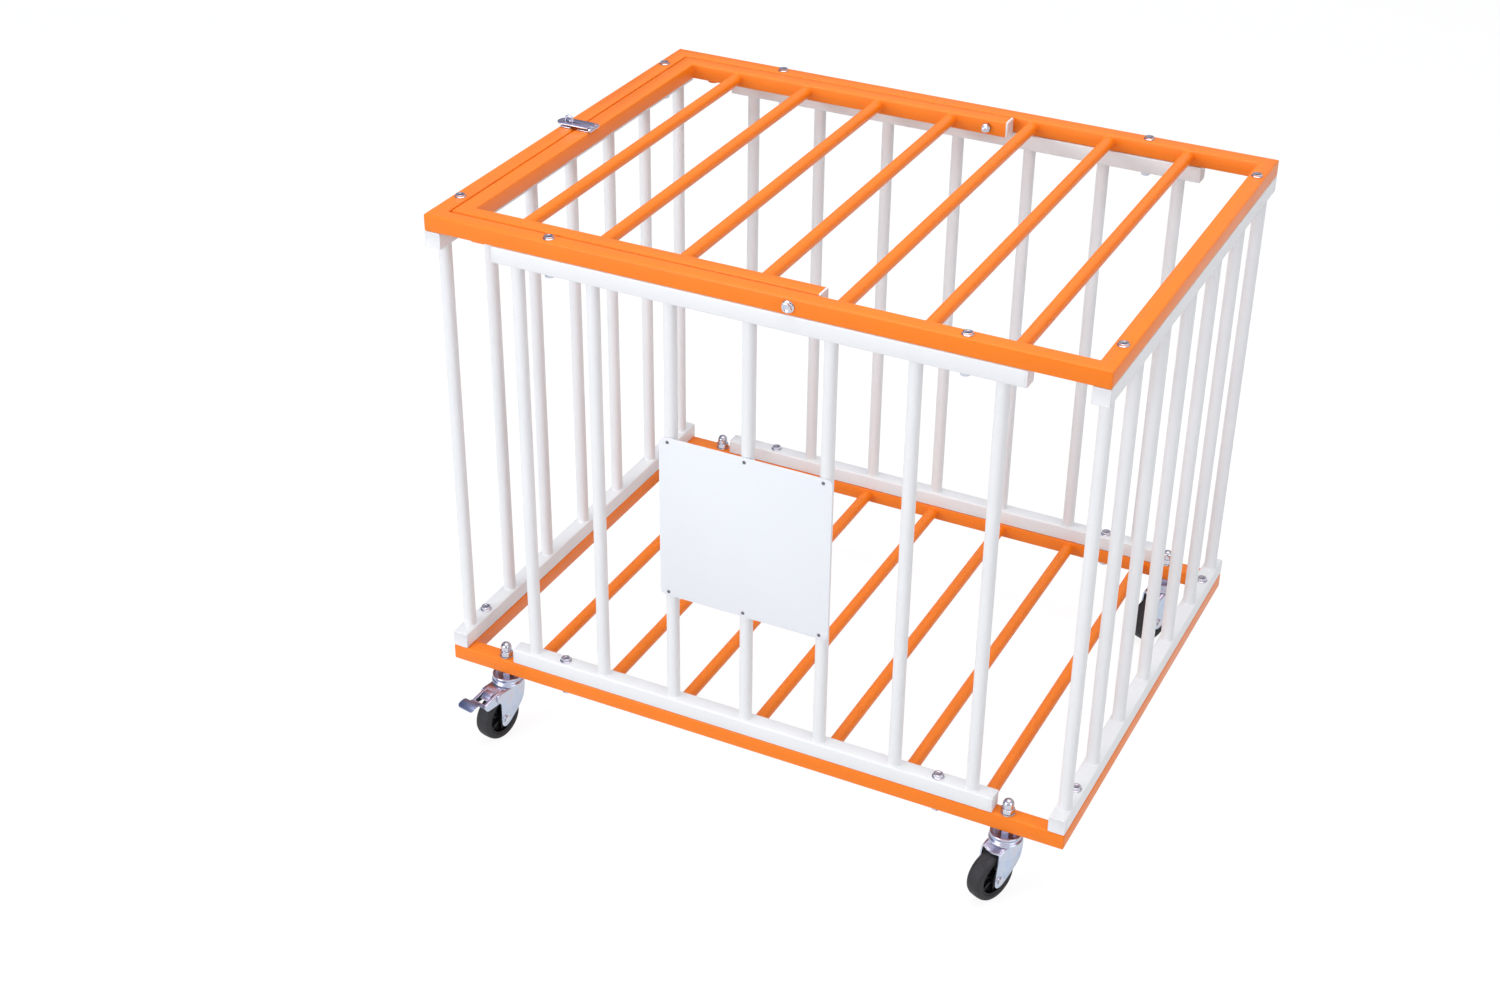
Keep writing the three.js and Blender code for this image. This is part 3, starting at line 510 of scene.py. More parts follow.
tyreRubber = makeMoulded("tyreRubber", "tyre_rubber", {
    "colour": (0.014, 0.014, 0.016), "cloudColour": (0.034, 0.034, 0.038), "edgeColour": (0.11, 0.11, 0.115),
    "edgeShare": 0.5, "edgeWidth": 0.9, "grain": 900.0, "cloud": 90.0, "patches": 150.0,
    "rough": (0.5, 0.7), "shine": 0.35, "bump": 0.3,
})
blackPlastic = makeMoulded("blackPlastic", "black_plastic", {
    "colour": (0.002, 0.002, 0.003), "cloudColour": (0.004, 0.004, 0.006), "edgeColour": (0.03, 0.03, 0.035),
    "edgeShare": 0.5, "edgeWidth": 0.9, "grain": 1500.0, "cloud": 90.0, "patches": 150.0,
    "rough": (0.34, 0.5), "shine": 0.3, "bump": 0.2,
})
print("zinc, rubber and plastic made")


smoothAngle = math.radians(35)


def finishPiece(obj, name, body, look, node="", move=Matrix.Identity(4)):
    obj.data.transform(Matrix.Translation(cageMiddle) @ move)
    obj.name = name
    obj.data.name = name
    useOnly(obj)
    bpy.ops.object.shade_smooth_by_angle(angle=smoothAngle)
    obj.data.materials.clear()
    obj.data.materials.append(look)
    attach(obj, body)
    if node:
        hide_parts(node)
    return obj


# Welds: an uneven bead round the foot of a bar
weld = {"ring": -0.1, "bead": (1.1, 36, 8), "unevenness": 0.8, "lumps": 4.0}
weldLumps = bpy.data.textures.new("weldLumps", "CLOUDS")
weldLumps.noise_scale = weld["lumps"] * mm


def weldBead(radius, place, alongY):
    bead = ringAt(place, (quarterTurn if alongY else 0, 0, 0), radius + weld["ring"], *weld["bead"])
    return applyModifier(bead, "DISPLACE", texture=weldLumps, texture_coords="GLOBAL",
                         strength=weld["unevenness"] * mm, mid_level=0.5)


# Square tube bent and welded to a ring, with round rods across it
cage = {"length": 1000, "depth": 750, "tube": 25, "corner": 2.2, "rod": 19, "rodInset": 131, "rodCount": 7,
        "baseUnder": 110, "topUnder": 835}
rodPlaces = spread(cage["rodCount"], cage["rodInset"], cage["length"])
frontY = (cage["depth"] - cage["tube"]) / 2
sideX = (cage["length"] - cage["tube"]) / 2


def tubeRing(length, depth, under, middleX=0):
    bpy.ops.mesh.primitive_plane_add(size=mm, location=spot(middleX, 0, under))
    ring = bpy.context.object
    ring.scale = (length, depth, 1)
    keepPlace(ring)
    openEdit(ring)
    selectAll()
    bpy.ops.mesh.inset(thickness=cage["tube"] * mm, depth=0)
    bpy.ops.mesh.delete(type="FACE")
    selectAll()
    extrude(spot(0, 0, cage["tube"]))
    tidyShell()
    return softenEdges(ring, cage["corner"], 3)


def rodsAcross(places, depth, under):
    radius = cage["rod"] / 2
    height = under + cage["tube"] / 2
    inner = depth / 2 - cage["tube"]
    parts = []
    for x in places:
        parts.append(roundBar((x, -inner - radius, height), (x, inner + radius, height), radius))
        parts += [weldBead(radius, (x, y, height), True) for y in (-inner, inner)]
    return parts


baseParts = [tubeRing(cage["length"], cage["depth"], cage["baseUnder"])]
baseParts += rodsAcross(rodPlaces, cage["depth"], cage["baseUnder"])
finishPiece(joinAll(baseParts), "baseFrame", "cage", orangePaint, "base_frame")

lid = {"gap": 3, "rods": 4, "tail": 33, "cap": 3, "seat": 0.3}
tab = {"inset": 84, "width": 20, "thickness": 3, "reach": 22, "root": 5, "edge": 0.5, "steps": 12,
       "pad": (356, 369), "padInset": 2, "padSink": 1, "padRise": 0.6}
topParts = [tubeRing(cage["length"], cage["depth"], cage["topUnder"])]
topParts += rodsAcross(rodPlaces[lid["rods"]:], cage["depth"], cage["topUnder"])
for side in (-1, 1):  # the tab that the lid rests on, and the pad that joins it to the tube
    x = tab["inset"] - cage["length"] / 2
    nose = tab["width"] / 2
    root = cage["depth"] / 2 - tab["root"]
    inner = cage["depth"] / 2 - cage["tube"] - lid["gap"] - tab["reach"] + nose
    outline = [(x + nose, side * root)]
    for step in range(tab["steps"] + 1):
        angle = math.pi * step / tab["steps"]
        outline.append((x + nose * math.cos(angle), side * (inner - nose * math.sin(angle))))
    outline.append((x - nose, side * root))
    underside = cage["topUnder"] - lid["seat"] - tab["thickness"]
    plate = raised([(px, py, underside) for px, py in outline], (0, 0, tab["thickness"]))
    near, far = sorted(side * y for y in tab["pad"])
    pad = block((x - nose + tab["padInset"], near, underside + tab["padSink"]),
                (x + nose - tab["padInset"], far, cage["topUnder"] + tab["padRise"]))
    topParts += [softenEdges(plate, tab["edge"]), softenEdges(pad, tab["edge"])]
finishPiece(joinAll(topParts), "topFrame", "cage", orangePaint, "top_frame")
print("base and top frames made")

# The lid: three sides of tube and four rods, turning on two bolts near its open end
pivotX = (rodPlaces[lid["rods"] - 1] + rodPlaces[lid["rods"]]) / 2
lidLeft = cage["tube"] + lid["gap"] - cage["length"] / 2
lidRight = pivotX + lid["tail"] - lid["cap"] - lid["seat"]
lidDepth = cage["depth"] - 2 * (cage["tube"] + lid["gap"])
railY = (lidDepth - cage["tube"]) / 2
lidLength = lidRight - lidLeft + 2 * cage["tube"]
lidRing = tubeRing(lidLength, lidDepth, cage["topUnder"], lidLeft + lidLength / 2)
cutAlong(lidRing, (lidRight, 0, 0), (1, 0, 0), use_fill=True, clear_outer=True)
lidParts = [lidRing] + rodsAcross(rodPlaces[:lid["rods"]], lidDepth, cage["topUnder"])
finishPiece(joinAll(lidParts), "lidFrame", "lid", orangePaint, "lid_frame")


# A moulded cap on the end of a tube: a flange with a crowned face and a shallow recess in it
capLook = {"crown": 0.9, "rim": 0.7, "wall": 0.3, "sink": 0.2, "steps": 3}


def tubeCap(thickness):
    half = cage["tube"] / 2
    cap = block((0, -half, -half), (thickness, half, half))
    bevelPicked(cap, "EDGE", cage["corner"], capLook["steps"], along("x"))
    bevelPicked(cap, "FACE", capLook["crown"], capLook["steps"], lambda place, normal: normal.x > 0.9)
    pick(cap, "FACE", lambda place, normal: normal.x > 0.99)
    bpy.ops.mesh.inset(thickness=capLook["rim"] * mm, depth=0)
    bpy.ops.mesh.inset(thickness=capLook["wall"] * mm, depth=-capLook["sink"] * mm)
    closeEdit()
    return cap


lidCap = tubeCap(lid["cap"])
for name, y in (("front", -railY), ("back", railY)):
    place = shift(lidRight + lid["seat"], y, cage["topUnder"] + cage["tube"] / 2)
    finishPiece(copyOf(lidCap), f"lidCap_{name}", "lid", capPlastic, f"lid_cap_{name}", move=place)
discard(lidCap)
print("lid made")

# Wall panels: two rails with capped ends, seven round bars and their welds
panel = {"low": 135.3, "high": 834.7, "bars": 7, "frontInset": 143, "sideInset": 30, "frontEnd": 108,
         "cap": 4, "seam": 0.15}


def panelParts(length, places):
    half = length / 2 - panel["cap"] - panel["seam"]
    radius = cage["rod"] / 2
    tube = cage["tube"]
    parts = []
    for low in (panel["low"], panel["high"] - tube):
        rail = block((-half, -tube / 2, low), (half, tube / 2, low + tube))
        bevelPicked(rail, "EDGE", cage["corner"], 3, along("x"))
        parts.append(rail)
    foot, head = panel["low"] + tube, panel["high"] - tube
    for x in places:
        parts.append(roundBar((x, 0, foot - radius), (x, 0, head + radius), radius))
        parts += [weldBead(radius, (x, 0, z), False) for z in (foot, head)]
    return parts


panelCap = tubeCap(panel["cap"])


def capParts(length):
    parts = []
    for low in (panel["low"], panel["high"] - cage["tube"]):
        height = low + cage["tube"] / 2
        for side in (1, -1):
            facing = turn(0 if side > 0 else math.pi, "Z")
            parts.append(copyOf(panelCap, shift(side * (length / 2 - panel["cap"]), 0, height) @ facing))
    return parts


frontLength = cage["length"] - 2 * panel["frontEnd"]
frontBars = spread(panel["bars"], panel["frontInset"], cage["length"])
sideBars = spread(panel["bars"], panel["sideInset"], cage["depth"])
frontPattern = joinAll(panelParts(frontLength, frontBars))
sidePattern = joinAll(panelParts(cage["depth"], sideBars))
frontCaps = joinAll(capParts(frontLength))
sideCaps = joinAll(capParts(cage["depth"]))
walls = [
    ("front", frontPattern, frontCaps, shift(0, -frontY, 0)),
    ("back", frontPattern, frontCaps, shift(0, frontY, 0) @ turn(math.pi, "Z")),
    ("left", sidePattern, sideCaps, shift(-sideX, 0, 0) @ turn(quarterTurn, "Z")),
    ("right", sidePattern, sideCaps, shift(sideX, 0, 0) @ turn(-quarterTurn, "Z")),
]
for name, wall, caps, place in walls:
    finishPiece(copyOf(wall), f"{name}Panel", "cage", whitePaint, f"{name}_panel", move=place)
    finishPiece(copyOf(caps), f"{name}PanelCaps", "cage", capPlastic, move=place)
discard(frontPattern, sidePattern, frontCaps, sideCaps, panelCap)
print("wall panels made")

# The sign plate and its six screws
sign = {"length": 265, "height": 260, "thickness": 2.4, "corner": 10, "cornerSteps": 6, "edge": 0.35,
        "middle": 474, "gap": 0.3, "screwRise": 123.5, "screwHead": 2.6, "screwProud": 1.3,
        "cross": (1.5, 0.35)}
signBack = -(cage["depth"] / 2) + (cage["tube"] - cage["rod"]) / 2 - sign["gap"]
half, tall, corner = sign["length"] / 2, sign["height"] / 2, sign["corner"]
outline = []
for i, (cx, cz) in enumerate(((1, 1), (-1, 1), (-1, -1), (1, -1))):
    for step in range(sign["cornerSteps"] + 1):
        angle = quarterTurn * (i + step / sign["cornerSteps"])
        outline.append((cx * (half - corner) + corner * math.cos(angle), signBack,
                        sign["middle"] + cz * (tall - corner) + corner * math.sin(angle)))
signPlate = softenEdges(raised(outline, (0, -sign["thickness"], 0)), sign["edge"])
finishPiece(signPlate, "signPlate", "cage", signSheet, "sign_plate")

screwRadius, screwProud = sign["screwHead"], sign["screwProud"]
crossReach, crossHalf = sign["cross"]
screw = turned([(0, -1), (screwRadius, -1), (screwRadius, 0.25), (screwRadius * 0.92, screwProud * 0.55),
                (screwRadius * 0.7, screwProud * 0.88), (screwRadius * 0.4, screwProud), (0, screwProud)], 24)
for angle in (0, quarterTurn):
    cross = block((-crossReach, -crossHalf, screwProud * 0.45), (crossReach, crossHalf, screwProud + 1))
    cross.data.transform(turn(angle, "Z"))
    combine(screw, cross, "DIFFERENCE")
screws = []
for x in frontBars[2:5]:
    for z in (-sign["screwRise"], sign["screwRise"]):
        place = shift(x, signBack - sign["thickness"], sign["middle"] + z) @ turn(quarterTurn, "X")
        screws.append(copyOf(screw, place @ turn(x + z, "Z")))
discard(screw)
finishPiece(joinAll(screws), "signScrews", "cage", darkScrew)
print("sign plate made")

# Flanged bolts with nuts, the underside of the head at zero. Each kind of bolt gives its flange's
# width and height, its head's height, its grip and how far its end stands out of the nut.
bolt = {"thread": (4.0, 3.4, 1.25), "across": 13, "nut": 6.5, "dish": 0.5, "seat": 0.3, "endInset": 195,
        "sideInset": 75, "top": (16.4, 1.4, 3.6, 50.9, 1.5), "base": (17.8, 1.6, 5.5, 50.9, 1.5),
        "pivot": (17.8, 1.6, 6, 53.6, 8)}


# A hexagon with chamfered corners and, where asked, a shallow dish in its top
def hexagon(across, low, high, dish=0.0, chamferLow=False):
    bpy.ops.mesh.primitive_cylinder_add(vertices=6, radius=across / 2 / math.cos(math.pi / 6) * mm,
                                        depth=(high - low) * mm, location=spot(0, 0, (low + high) / 2))
    made = keepPlace(bpy.context.object)
    flat, wide = across / 2, across * 0.62
    slope = (wide - flat * 0.93) * math.tan(math.radians(28))
    profile = [(0, high - dish), (flat * 0.6, high - dish), (flat * 0.72, high), (flat * 0.93, high),
               (wide, high - slope)]
    foot = [(wide, low - 1), (0, low - 1)]
    if chamferLow:
        foot = [(wide, low + slope), (flat * 0.93, low), (0, low)]
    return combine(made, turned(profile + foot), "INTERSECT")


def threaded(low, high, radius, root, pitch):
    profile = [(0, low), (root - 0.3, low)]
    height = low + pitch / 2
    while height < high - pitch / 2:
        profile += [(radius, height), (root, height + pitch / 2)]
        height += pitch
    return profile + [(root, high), (0, high)]


def boltPattern(flange, flangeHeight, head, grip, tail):
    rim, nutEnd = flange / 2, -grip - bolt["nut"]
    return joinAll([
        turned([(0, 0), (rim - 0.35, 0), (rim, 0.3), (rim, 0.55), (rim - 0.35, 0.85),
                (bolt["across"] / 2 + 0.6, flangeHeight), (0, flangeHeight + 0.1)]),
        hexagon(bolt["across"], flangeHeight * 0.6, head, dish=bolt["dish"]),
        turned(threaded(nutEnd - tail, bolt["seat"], *bolt["thread"]), 32),
        hexagon(bolt["across"], nutEnd, -grip, chamferLow=True),
    ])


topBolt, baseBolt, pivotBolt = (boltPattern(*bolt[kind]) for kind in ("top", "base", "pivot"))
boltX, boltY = cage["length"] / 2 - bolt["endInset"], cage["depth"] / 2 - bolt["sideInset"]
boltPlaces = {
    "front_left": (-boltX, -frontY), "front_right": (boltX, -frontY),
    "back_left": (-boltX, frontY), "back_right": (boltX, frontY),
    "left_front": (-sideX, -boltY), "left_back": (-sideX, boltY),
    "right_front": (sideX, -boltY), "right_back": (sideX, boltY),
}
topSeat = cage["topUnder"] + cage["tube"] + bolt["seat"]
baseSeat = panel["low"] + cage["tube"] + bolt["seat"]
for count, (name, (x, y)) in enumerate(boltPlaces.items()):
    spin = turn(0.37 * count, "Z")  # no two heads stand alike
    for kind, pattern, seat in (("top", topBolt, topSeat), ("base", baseBolt, baseSeat)):
        finishPiece(copyOf(pattern), f"bolt{kind.title()}_{name}", "cage", boltZinc, f"bolt_{kind}_{name}",
                    move=shift(x, y, seat) @ spin)
for name, side in (("front", -1), ("back", 1)):
    place = shift(pivotX, side * (cage["depth"] / 2 + bolt["seat"]), cage["topUnder"] + cage["tube"] / 2)
    finishPiece(copyOf(pivotBolt), f"lidPivotBolt_{name}", "cage", boltZinc, f"lid_pivot_bolt_{name}",
                move=place @ turn(-side * quarterTurn, "X") @ turn(0.2, "Z"))
discard(topBolt, baseBolt, pivotBolt)
print("bolts made")

# The hasp, drawn from the outer left edge of the top frame at its top face
hasp = {"half": 12.5, "sheet": 2, "gap": 0.3, "pinX": 54.5, "pinZ": 3.5, "knuckle": 3.2, "bore": 2.3,
        "pin": 2, "leafStart": 33, "leafScrews": (39, 7.5), "slotMiddle": 12.5, "slotHalf": 10,
        "slotWide": 3, "slotRound": 2.9, "bar": 4, "plateHalf": 9, "plateScrew": 8.5, "screwHead": 2.6,
        "edge": 0.35, "plateEdge": 0.4}
haspPlace = shift(-cage["length"] / 2, 0, cage["topUnder"] + cage["tube"])
half, gap, pinX, pinZ = hasp["half"], hasp["gap"], hasp["pinX"], hasp["pinZ"]
leafTop = gap + hasp["sheet"]
third = half / 3


def haspKnuckle(low, high):
    roll = softenEdges(roundBar((pinX, low, pinZ), (pinX, high, pinZ), hasp["knuckle"], 32), hasp["edge"])
    bore = roundBar((pinX, low - 1, pinZ), (pinX, high + 1, pinZ), hasp["bore"], 24)
    return combine(roll, bore, "DIFFERENCE")


# Room for the other leaf's knuckle
def notchOut(leaf, low, high):
    combine(leaf, block((pinX - 4, low, -1), (pinX + 4, high, 9)), "DIFFERENCE")


def countersunkScrew(x, y):
    radius = hasp["screwHead"]
    head = turned([(0, -0.4), (radius, -0.4), (radius, 0.1), (1.9, 0.55), (1.0, 0.75), (0, 0.8)], 24)
    combine(head, block((-3, -0.3, 0.35), (3, 0.3, 2)), "DIFFERENCE")
    head.data.transform(shift(x, y, leafTop) @ turn(0.7 * y, "Z"))
    return head


leaf = block((hasp["leafStart"], -half, gap), (pinX - 0.5, half, leafTop))
notchOut(leaf, -third - gap, third + gap)
softenEdges(leaf, hasp["edge"])
leafParts = [leaf, haspKnuckle(-half, -third - gap), haspKnuckle(third + gap, half)]
screwX, screwY = hasp["leafScrews"]
leafParts += [countersunkScrew(screwX, y) for y in (-screwY, screwY)]
finishPiece(joinAll(leafParts), "haspLeaf", "lid", brightZinc, "hasp_leaf", move=haspPlace)

pinEnd = half + gap
pinParts = [roundBar((pinX, -pinEnd, pinZ), (pinX, pinEnd, pinZ), hasp["pin"], 24)]
for side in (-1, 1):
    head = turned([(0, 0), (2.7, 0), (2.7, 0.3), (2.2, 0.65), (0, 0.8)], 24)
    head.data.transform(shift(pinX, side * pinEnd, pinZ) @ turn(-side * quarterTurn, "X"))
    pinParts.append(head)
finishPiece(joinAll(pinParts), "haspPin", "lid", brightZinc, "hasp_pin", move=haspPlace)

# The strap: a straight plate with a rounded free end and a slot for the staple
strapLow = pinZ + hasp["knuckle"] - hasp["sheet"]
strapNose = [(6, 12.5), (1, 11.6), (-3.4, 8.2), (-5.6, 3.4), (-6, 0)]
strapNose = smoothLine(strapNose + [(x, -y) for x, y in reversed(strapNose[:-1])], 3)
strapOutline = [(pinX, half, strapLow), *((x, y, strapLow) for x, y in strapNose), (pinX, -half, strapLow)]
strap = raised(strapOutline, (0, 0, hasp["sheet"]))
slotX, slotY = hasp["slotHalf"], hasp["slotWide"]
slot = block((hasp["slotMiddle"] - slotX, -slotY, 0), (hasp["slotMiddle"] + slotX, slotY, 12))
bevelPicked(slot, "EDGE", hasp["slotRound"], 5, along("z"))
combine(strap, slot, "DIFFERENCE")
notchOut(strap, -14, -third)
notchOut(strap, third, 14)
softenEdges(strap, hasp["plateEdge"])
finishPiece(joinAll([strap, haspKnuckle(-third, third)]), "haspStrap", "hasp_strap", brightZinc,
            "hasp_strap", move=haspPlace)

# The staple: a riveted plate and a round bar bent to an arch
archLine = [(-6, 0.8), (-6, 4.5), (-5.9, 9.3), (-4.6, 12.6), (-2.4, 14.5), (0, 15.3)]
archLine += [(-x, z) for x, z in reversed(archLine[:-1])]
archCurve = bpy.data.curves.new("archCurve", "CURVE")
archCurve.dimensions = "3D"
archCurve.bevel_depth = hasp["bar"] / 2 * mm
archCurve.bevel_resolution = 5
archCurve.use_fill_caps = True
archSpline = archCurve.splines.new("NURBS")
archPoints = smoothLine(archLine, 4)
archSpline.points.add(len(archPoints) - 1)
for point, (x, z) in zip(archSpline.points, archPoints):
    point.co = (*spot(hasp["slotMiddle"] + x, 0, z), 1.0)
archSpline.use_endpoint_u = True
archShape = bpy.data.objects.new("archShape", archCurve)
bpy.context.scene.collection.objects.link(archShape)
useOnly(archShape)
bpy.ops.object.convert(target="MESH")
staplePlate = block((hasp["slotMiddle"] - hasp["plateHalf"], -half, gap),
                    (hasp["slotMiddle"] + hasp["plateHalf"], half, leafTop))
softenEdges(staplePlate, hasp["plateEdge"])
stapleParts = [staplePlate, bpy.data.objects["archShape"]]
stapleParts += [countersunkScrew(hasp["slotMiddle"], y) for y in (-hasp["plateScrew"], hasp["plateScrew"])]
finishPiece(joinAll(stapleParts), "haspStaple", "cage", brightZinc, "hasp_staple", move=haspPlace)
print("hasp made")

# Casters, drawn round their swivel axis with the wheel trailing towards -Y
caster = {"inset": 88, "wheel": 37.5, "trail": 27, "crownTop": 90, "sheet": 2.5, "gap": 15.5, "bend": 4.2,
          "baseUnder": 109.7, "collar": 17, "collarLow": 98.8, "stemTop": 145.3, "stem": (5, 4.3, 1.5),
          "nutSeat": 135.3, "nut": 18, "washerTop": 1.95, "domeLow": 16, "dome": 8.3}
outer = caster["gap"] + caster["sheet"]
raceProfile = [(0, 98), (20.8, 98), (20.8, 90.3), (23.6, 90.3), (24.7, 90.8), (25, 92), (24.7, 93.5),
               (23.5, 94.8), (22.3, 95.9), (21.8, 97.2), (21.9, 98.8), (22.7, 100.4), (23.3, 101.6),
               (23.3, 102.8), (22.6, 103.7), (21.2, 104), (19.6, 103.3), (18.4, 101.6), (17, 100.2),
               (14.6, 99.4), (11, 99.2), (0, 99.2)]
collar = hexagon(caster["collar"], caster["collarLow"], caster["baseUnder"])
stemThread = turned(threaded(99, caster["stemTop"], *caster["stem"]), 32)
stemShape = joinAll([turned(raceProfile, 72), collar, stemThread])

washerTop, domeLow, dome = caster["washerTop"], caster["domeLow"], caster["dome"]
domeArc = [quarterTurn * i / 9 for i in range(1, 9)]
nutShape = joinAll([
    turned([(5.3, 0), (10.2, 0), (10.5, 0.35), (10.5, 1.55), (10.1, washerTop), (5.3, washerTop), (5.3, 0)]),
    hexagon(caster["nut"], washerTop, 10, chamferLow=True),
    turned([(0, 9.4), (8, 9.4), (8, 10.5), (8.25, 10.9), (dome, 12), (dome, domeLow),
            *((dome * math.cos(angle), domeLow + dome * math.sin(angle)) for angle in domeArc),
            (0, domeLow + dome)]),
])
nutShape.data.transform(shift(0, 0, caster["nutSeat"]))


def sideShape(outline, half):
    return raised([(-half, -reach, height) for reach, height in outline], (2 * half, 0, 0))


# A channel of thin sheet, open below and at both ends
def channel(low, high):
    shell = block(low, high)
    pick(shell, "FACE", lambda place, normal: normal.z < -0.9 or abs(normal.y) > 0.9)
    bpy.ops.mesh.delete(type="FACE")
    closeEdit()
    return shell


def sideRivets(profile, reach, height):
    rivets = []
    for side in (-1, 1):
        rivet = turned(profile, 24)
        rivet.data.transform(shift(side * outer, -reach, height) @ turn(side * quarterTurn, "Y"))
        rivets.append(rivet)
    return rivets


# A fork is pressed from one sheet: an upturned channel with rounded bends, cut to its side view
fork = {"nose": 46, "heel": 22, "foot": 15, "slopeCuts": (17, 19, 21, 23, 25, 27, 29),
        "sagCuts": (-10, -5, 0, 5, 10), "sag": ((0, 1), (5, 0.75), (10, 0.3)),
        "slope": ((19, 0.3, 0.3), (21, 1, 0.9), (23, 2.1, 1.7), (25, 3.4, 2.5), (27, 4.7, 3.3),
                  (29, 5.8, 4), (46, 6, 4)),
        "step": 1, "ring": (5.8, 0.65, 40, 10), "ringSink": 0.35, "rivet": (40, 80.5), "edge": 0.45}
stepLine = [(28.6, 50.9), (15.6, 38.3), (16.7, 37.2), (29.7, 49.8)]
cheekBack = [(-18, 94), (-18, 87), (-17.2, 74), (-14.6, 61.5), (-8.3, 51), (0, 42.8), (10, 34.4), (18, 28.2),
             (24, 25.3), (29, 25), (33.2, 27.6), (35.2, 32)]
cheekFronts = {
    False: [(35.2, 32), (34.8, 43), (33.4, 57), (31.2, 72), (28.6, 85), (27.6, 94)],
    True: [(35.2, 32), (35.3, 42), (35.2, 56), (35.3, 67), (37.2, 72.4), (41, 75.4), (42.1, 79), (42.1, 85),
           (40.8, 88.4), (37.8, 90.4), (37.8, 94)],
}


# Without a brake the crown slopes down ahead of the race and sags in the middle of its rim
def slopeCrown(shell, top):
    for reach in fork["slopeCuts"]:
        cutAlong(shell, (0, -reach, 0), (0, 1, 0))
    for across in fork["sagCuts"]:
        cutAlong(shell, (across, 0, 0), (1, 0, 0))
    for reach, drop, sag in fork["slope"]:
        lowerPicked(shell, drop, lambda co: abs(-co.y - reach) < 0.5 and co.z > top - caster["bend"] - 0.1)
        for across, share in fork["sag"]:
            lowerPicked(shell, sag * share, lambda co: abs(-co.y - reach) < 0.5
                        and abs(abs(co.x) - across) < 0.5 and co.z > top - 14)


def forkPattern(braked):
    top = caster["crownTop"]
    shell = channel((-outer, -fork["nose"], fork["foot"]), (outer, fork["heel"], top))
    bevelPicked(shell, "EDGE", caster["bend"], 5,
                lambda place, way: place.z > top - 0.1 and abs(way.y) > 0.9)
    if not braked:
        slopeCrown(shell, top)
    thicken(shell, caster["sheet"], -1)
    outline = smoothLine(cheekBack, 4) + smoothLine(cheekFronts[braked], 4)[1:]
    combine(shell, sideShape(outline, outer + 2), "INTERSECT")
    for side in (-1, 1):  # the step above the axle
        start, depth = side * (outer - fork["step"]), side * (fork["step"] + 0.6)
        groove = raised([(start, -reach, height) for reach, height in stepLine], (depth, 0, 0))
        combine(shell, groove, "DIFFERENCE")
    if braked:  # room for the pedal
        combine(shell, block((-caster["gap"], -60, 60), (caster["gap"], -23.9, 99)), "DIFFERENCE")
    softenEdges(shell, fork["edge"], 2, 50)
    parts = [shell, turned([(0, 88), (20.2, 88), (20.2, 95.8), (19.6, 96.9), (18.6, 97.4), (0, 97.4)], 64)]
    if braked:
        parts += sideRivets([(0, -1), (1.2, -1), (1.2, 0.15), (0.85, 0.3), (0, 0.35)], *fork["rivet"])
    for side in (-1, 1):
        place = (side * (outer - fork["ringSink"]), -caster["trail"], caster["wheel"])
        parts.append(ringAt(place, (0, quarterTurn, 0), *fork["ring"]))
    return joinAll(parts)


def axlePattern():
    reach = outer + 0.3
    head = joinAll([hexagon(10, 0.8, 3.2, dish=0.4),
                    turned([(0, 0), (5.9, 0), (5.9, 0.7), (5.6, 0.95), (0, 0.95)])])
    axle = joinAll([roundBar((-reach, 0, 0), (reach, 0, 0), 4, 32),
                    copyOf(head, shift(reach, 0, 0) @ turn(quarterTurn, "Y") @ turn(0.3, "Z")),
                    copyOf(head, shift(-reach, 0, 0) @ turn(-quarterTurn, "Y") @ turn(0.9, "Z"))])
    discard(head)
    axle.data.transform(shift(0, -caster["trail"], caster["wheel"]))
    return axle


# The wheel: a recessed plastic hub with spokes, and a tyre with two fine mould lines
hub = {"rim": 27.7, "inner": 24.6, "half": 11.4, "spokes": 6, "spoke": (9, 24.7, 1.5, 8.4), "edge": 0.5}
tyreHalf = [(28, 0), (28, 11.2), (28.6, 11.9), (29.8, 12.25), (33.2, 12.5), (34.6, 12.2), (35.6, 11.3),
            (36.5, 9.6), (37.1, 7.6), (37.35, 5.4), (37.05, 5.15), (37.05, 4.85), (37.4, 4.6), (37.5, 2.4),
            (37.5, 0)]


def wheelPlace(obj):
    obj.data.transform(shift(0, -caster["trail"], caster["wheel"]) @ turn(quarterTurn, "Y"))
    return obj


def tyrePattern():
    outline = [(radius, -across) for radius, across in tyreHalf]
    return wheelPlace(turned(outline + tyreHalf[-2:0:-1] + [tyreHalf[0]], 96))


def hubPattern():
    rim, inner, half = hub["rim"], hub["inner"], hub["half"]
    outline = [(4.35, -15.2), (8.4, -15.2), (9, -14.6), (9.3, -4), (10.4, -3), (22.6, -3), (23.9, -4),
               (inner, -half + 0.5), (inner + 0.5, -half), (rim - 0.4, -half), (rim, -half + 0.4)]
    outline += [(radius, -across) for radius, across in reversed(outline)]
    near, far, spokeHalf, reach = hub["spoke"]
    spoke = softenEdges(block((near, -spokeHalf, -reach), (far, spokeHalf, reach)), hub["edge"])
    spokes = [copyOf(spoke, turn(fullTurn * i / hub["spokes"], "Z")) for i in range(hub["spokes"])]
    discard(spoke)
    return wheelPlace(joinAll([turned(outline + outline[:1], 72), *spokes]))


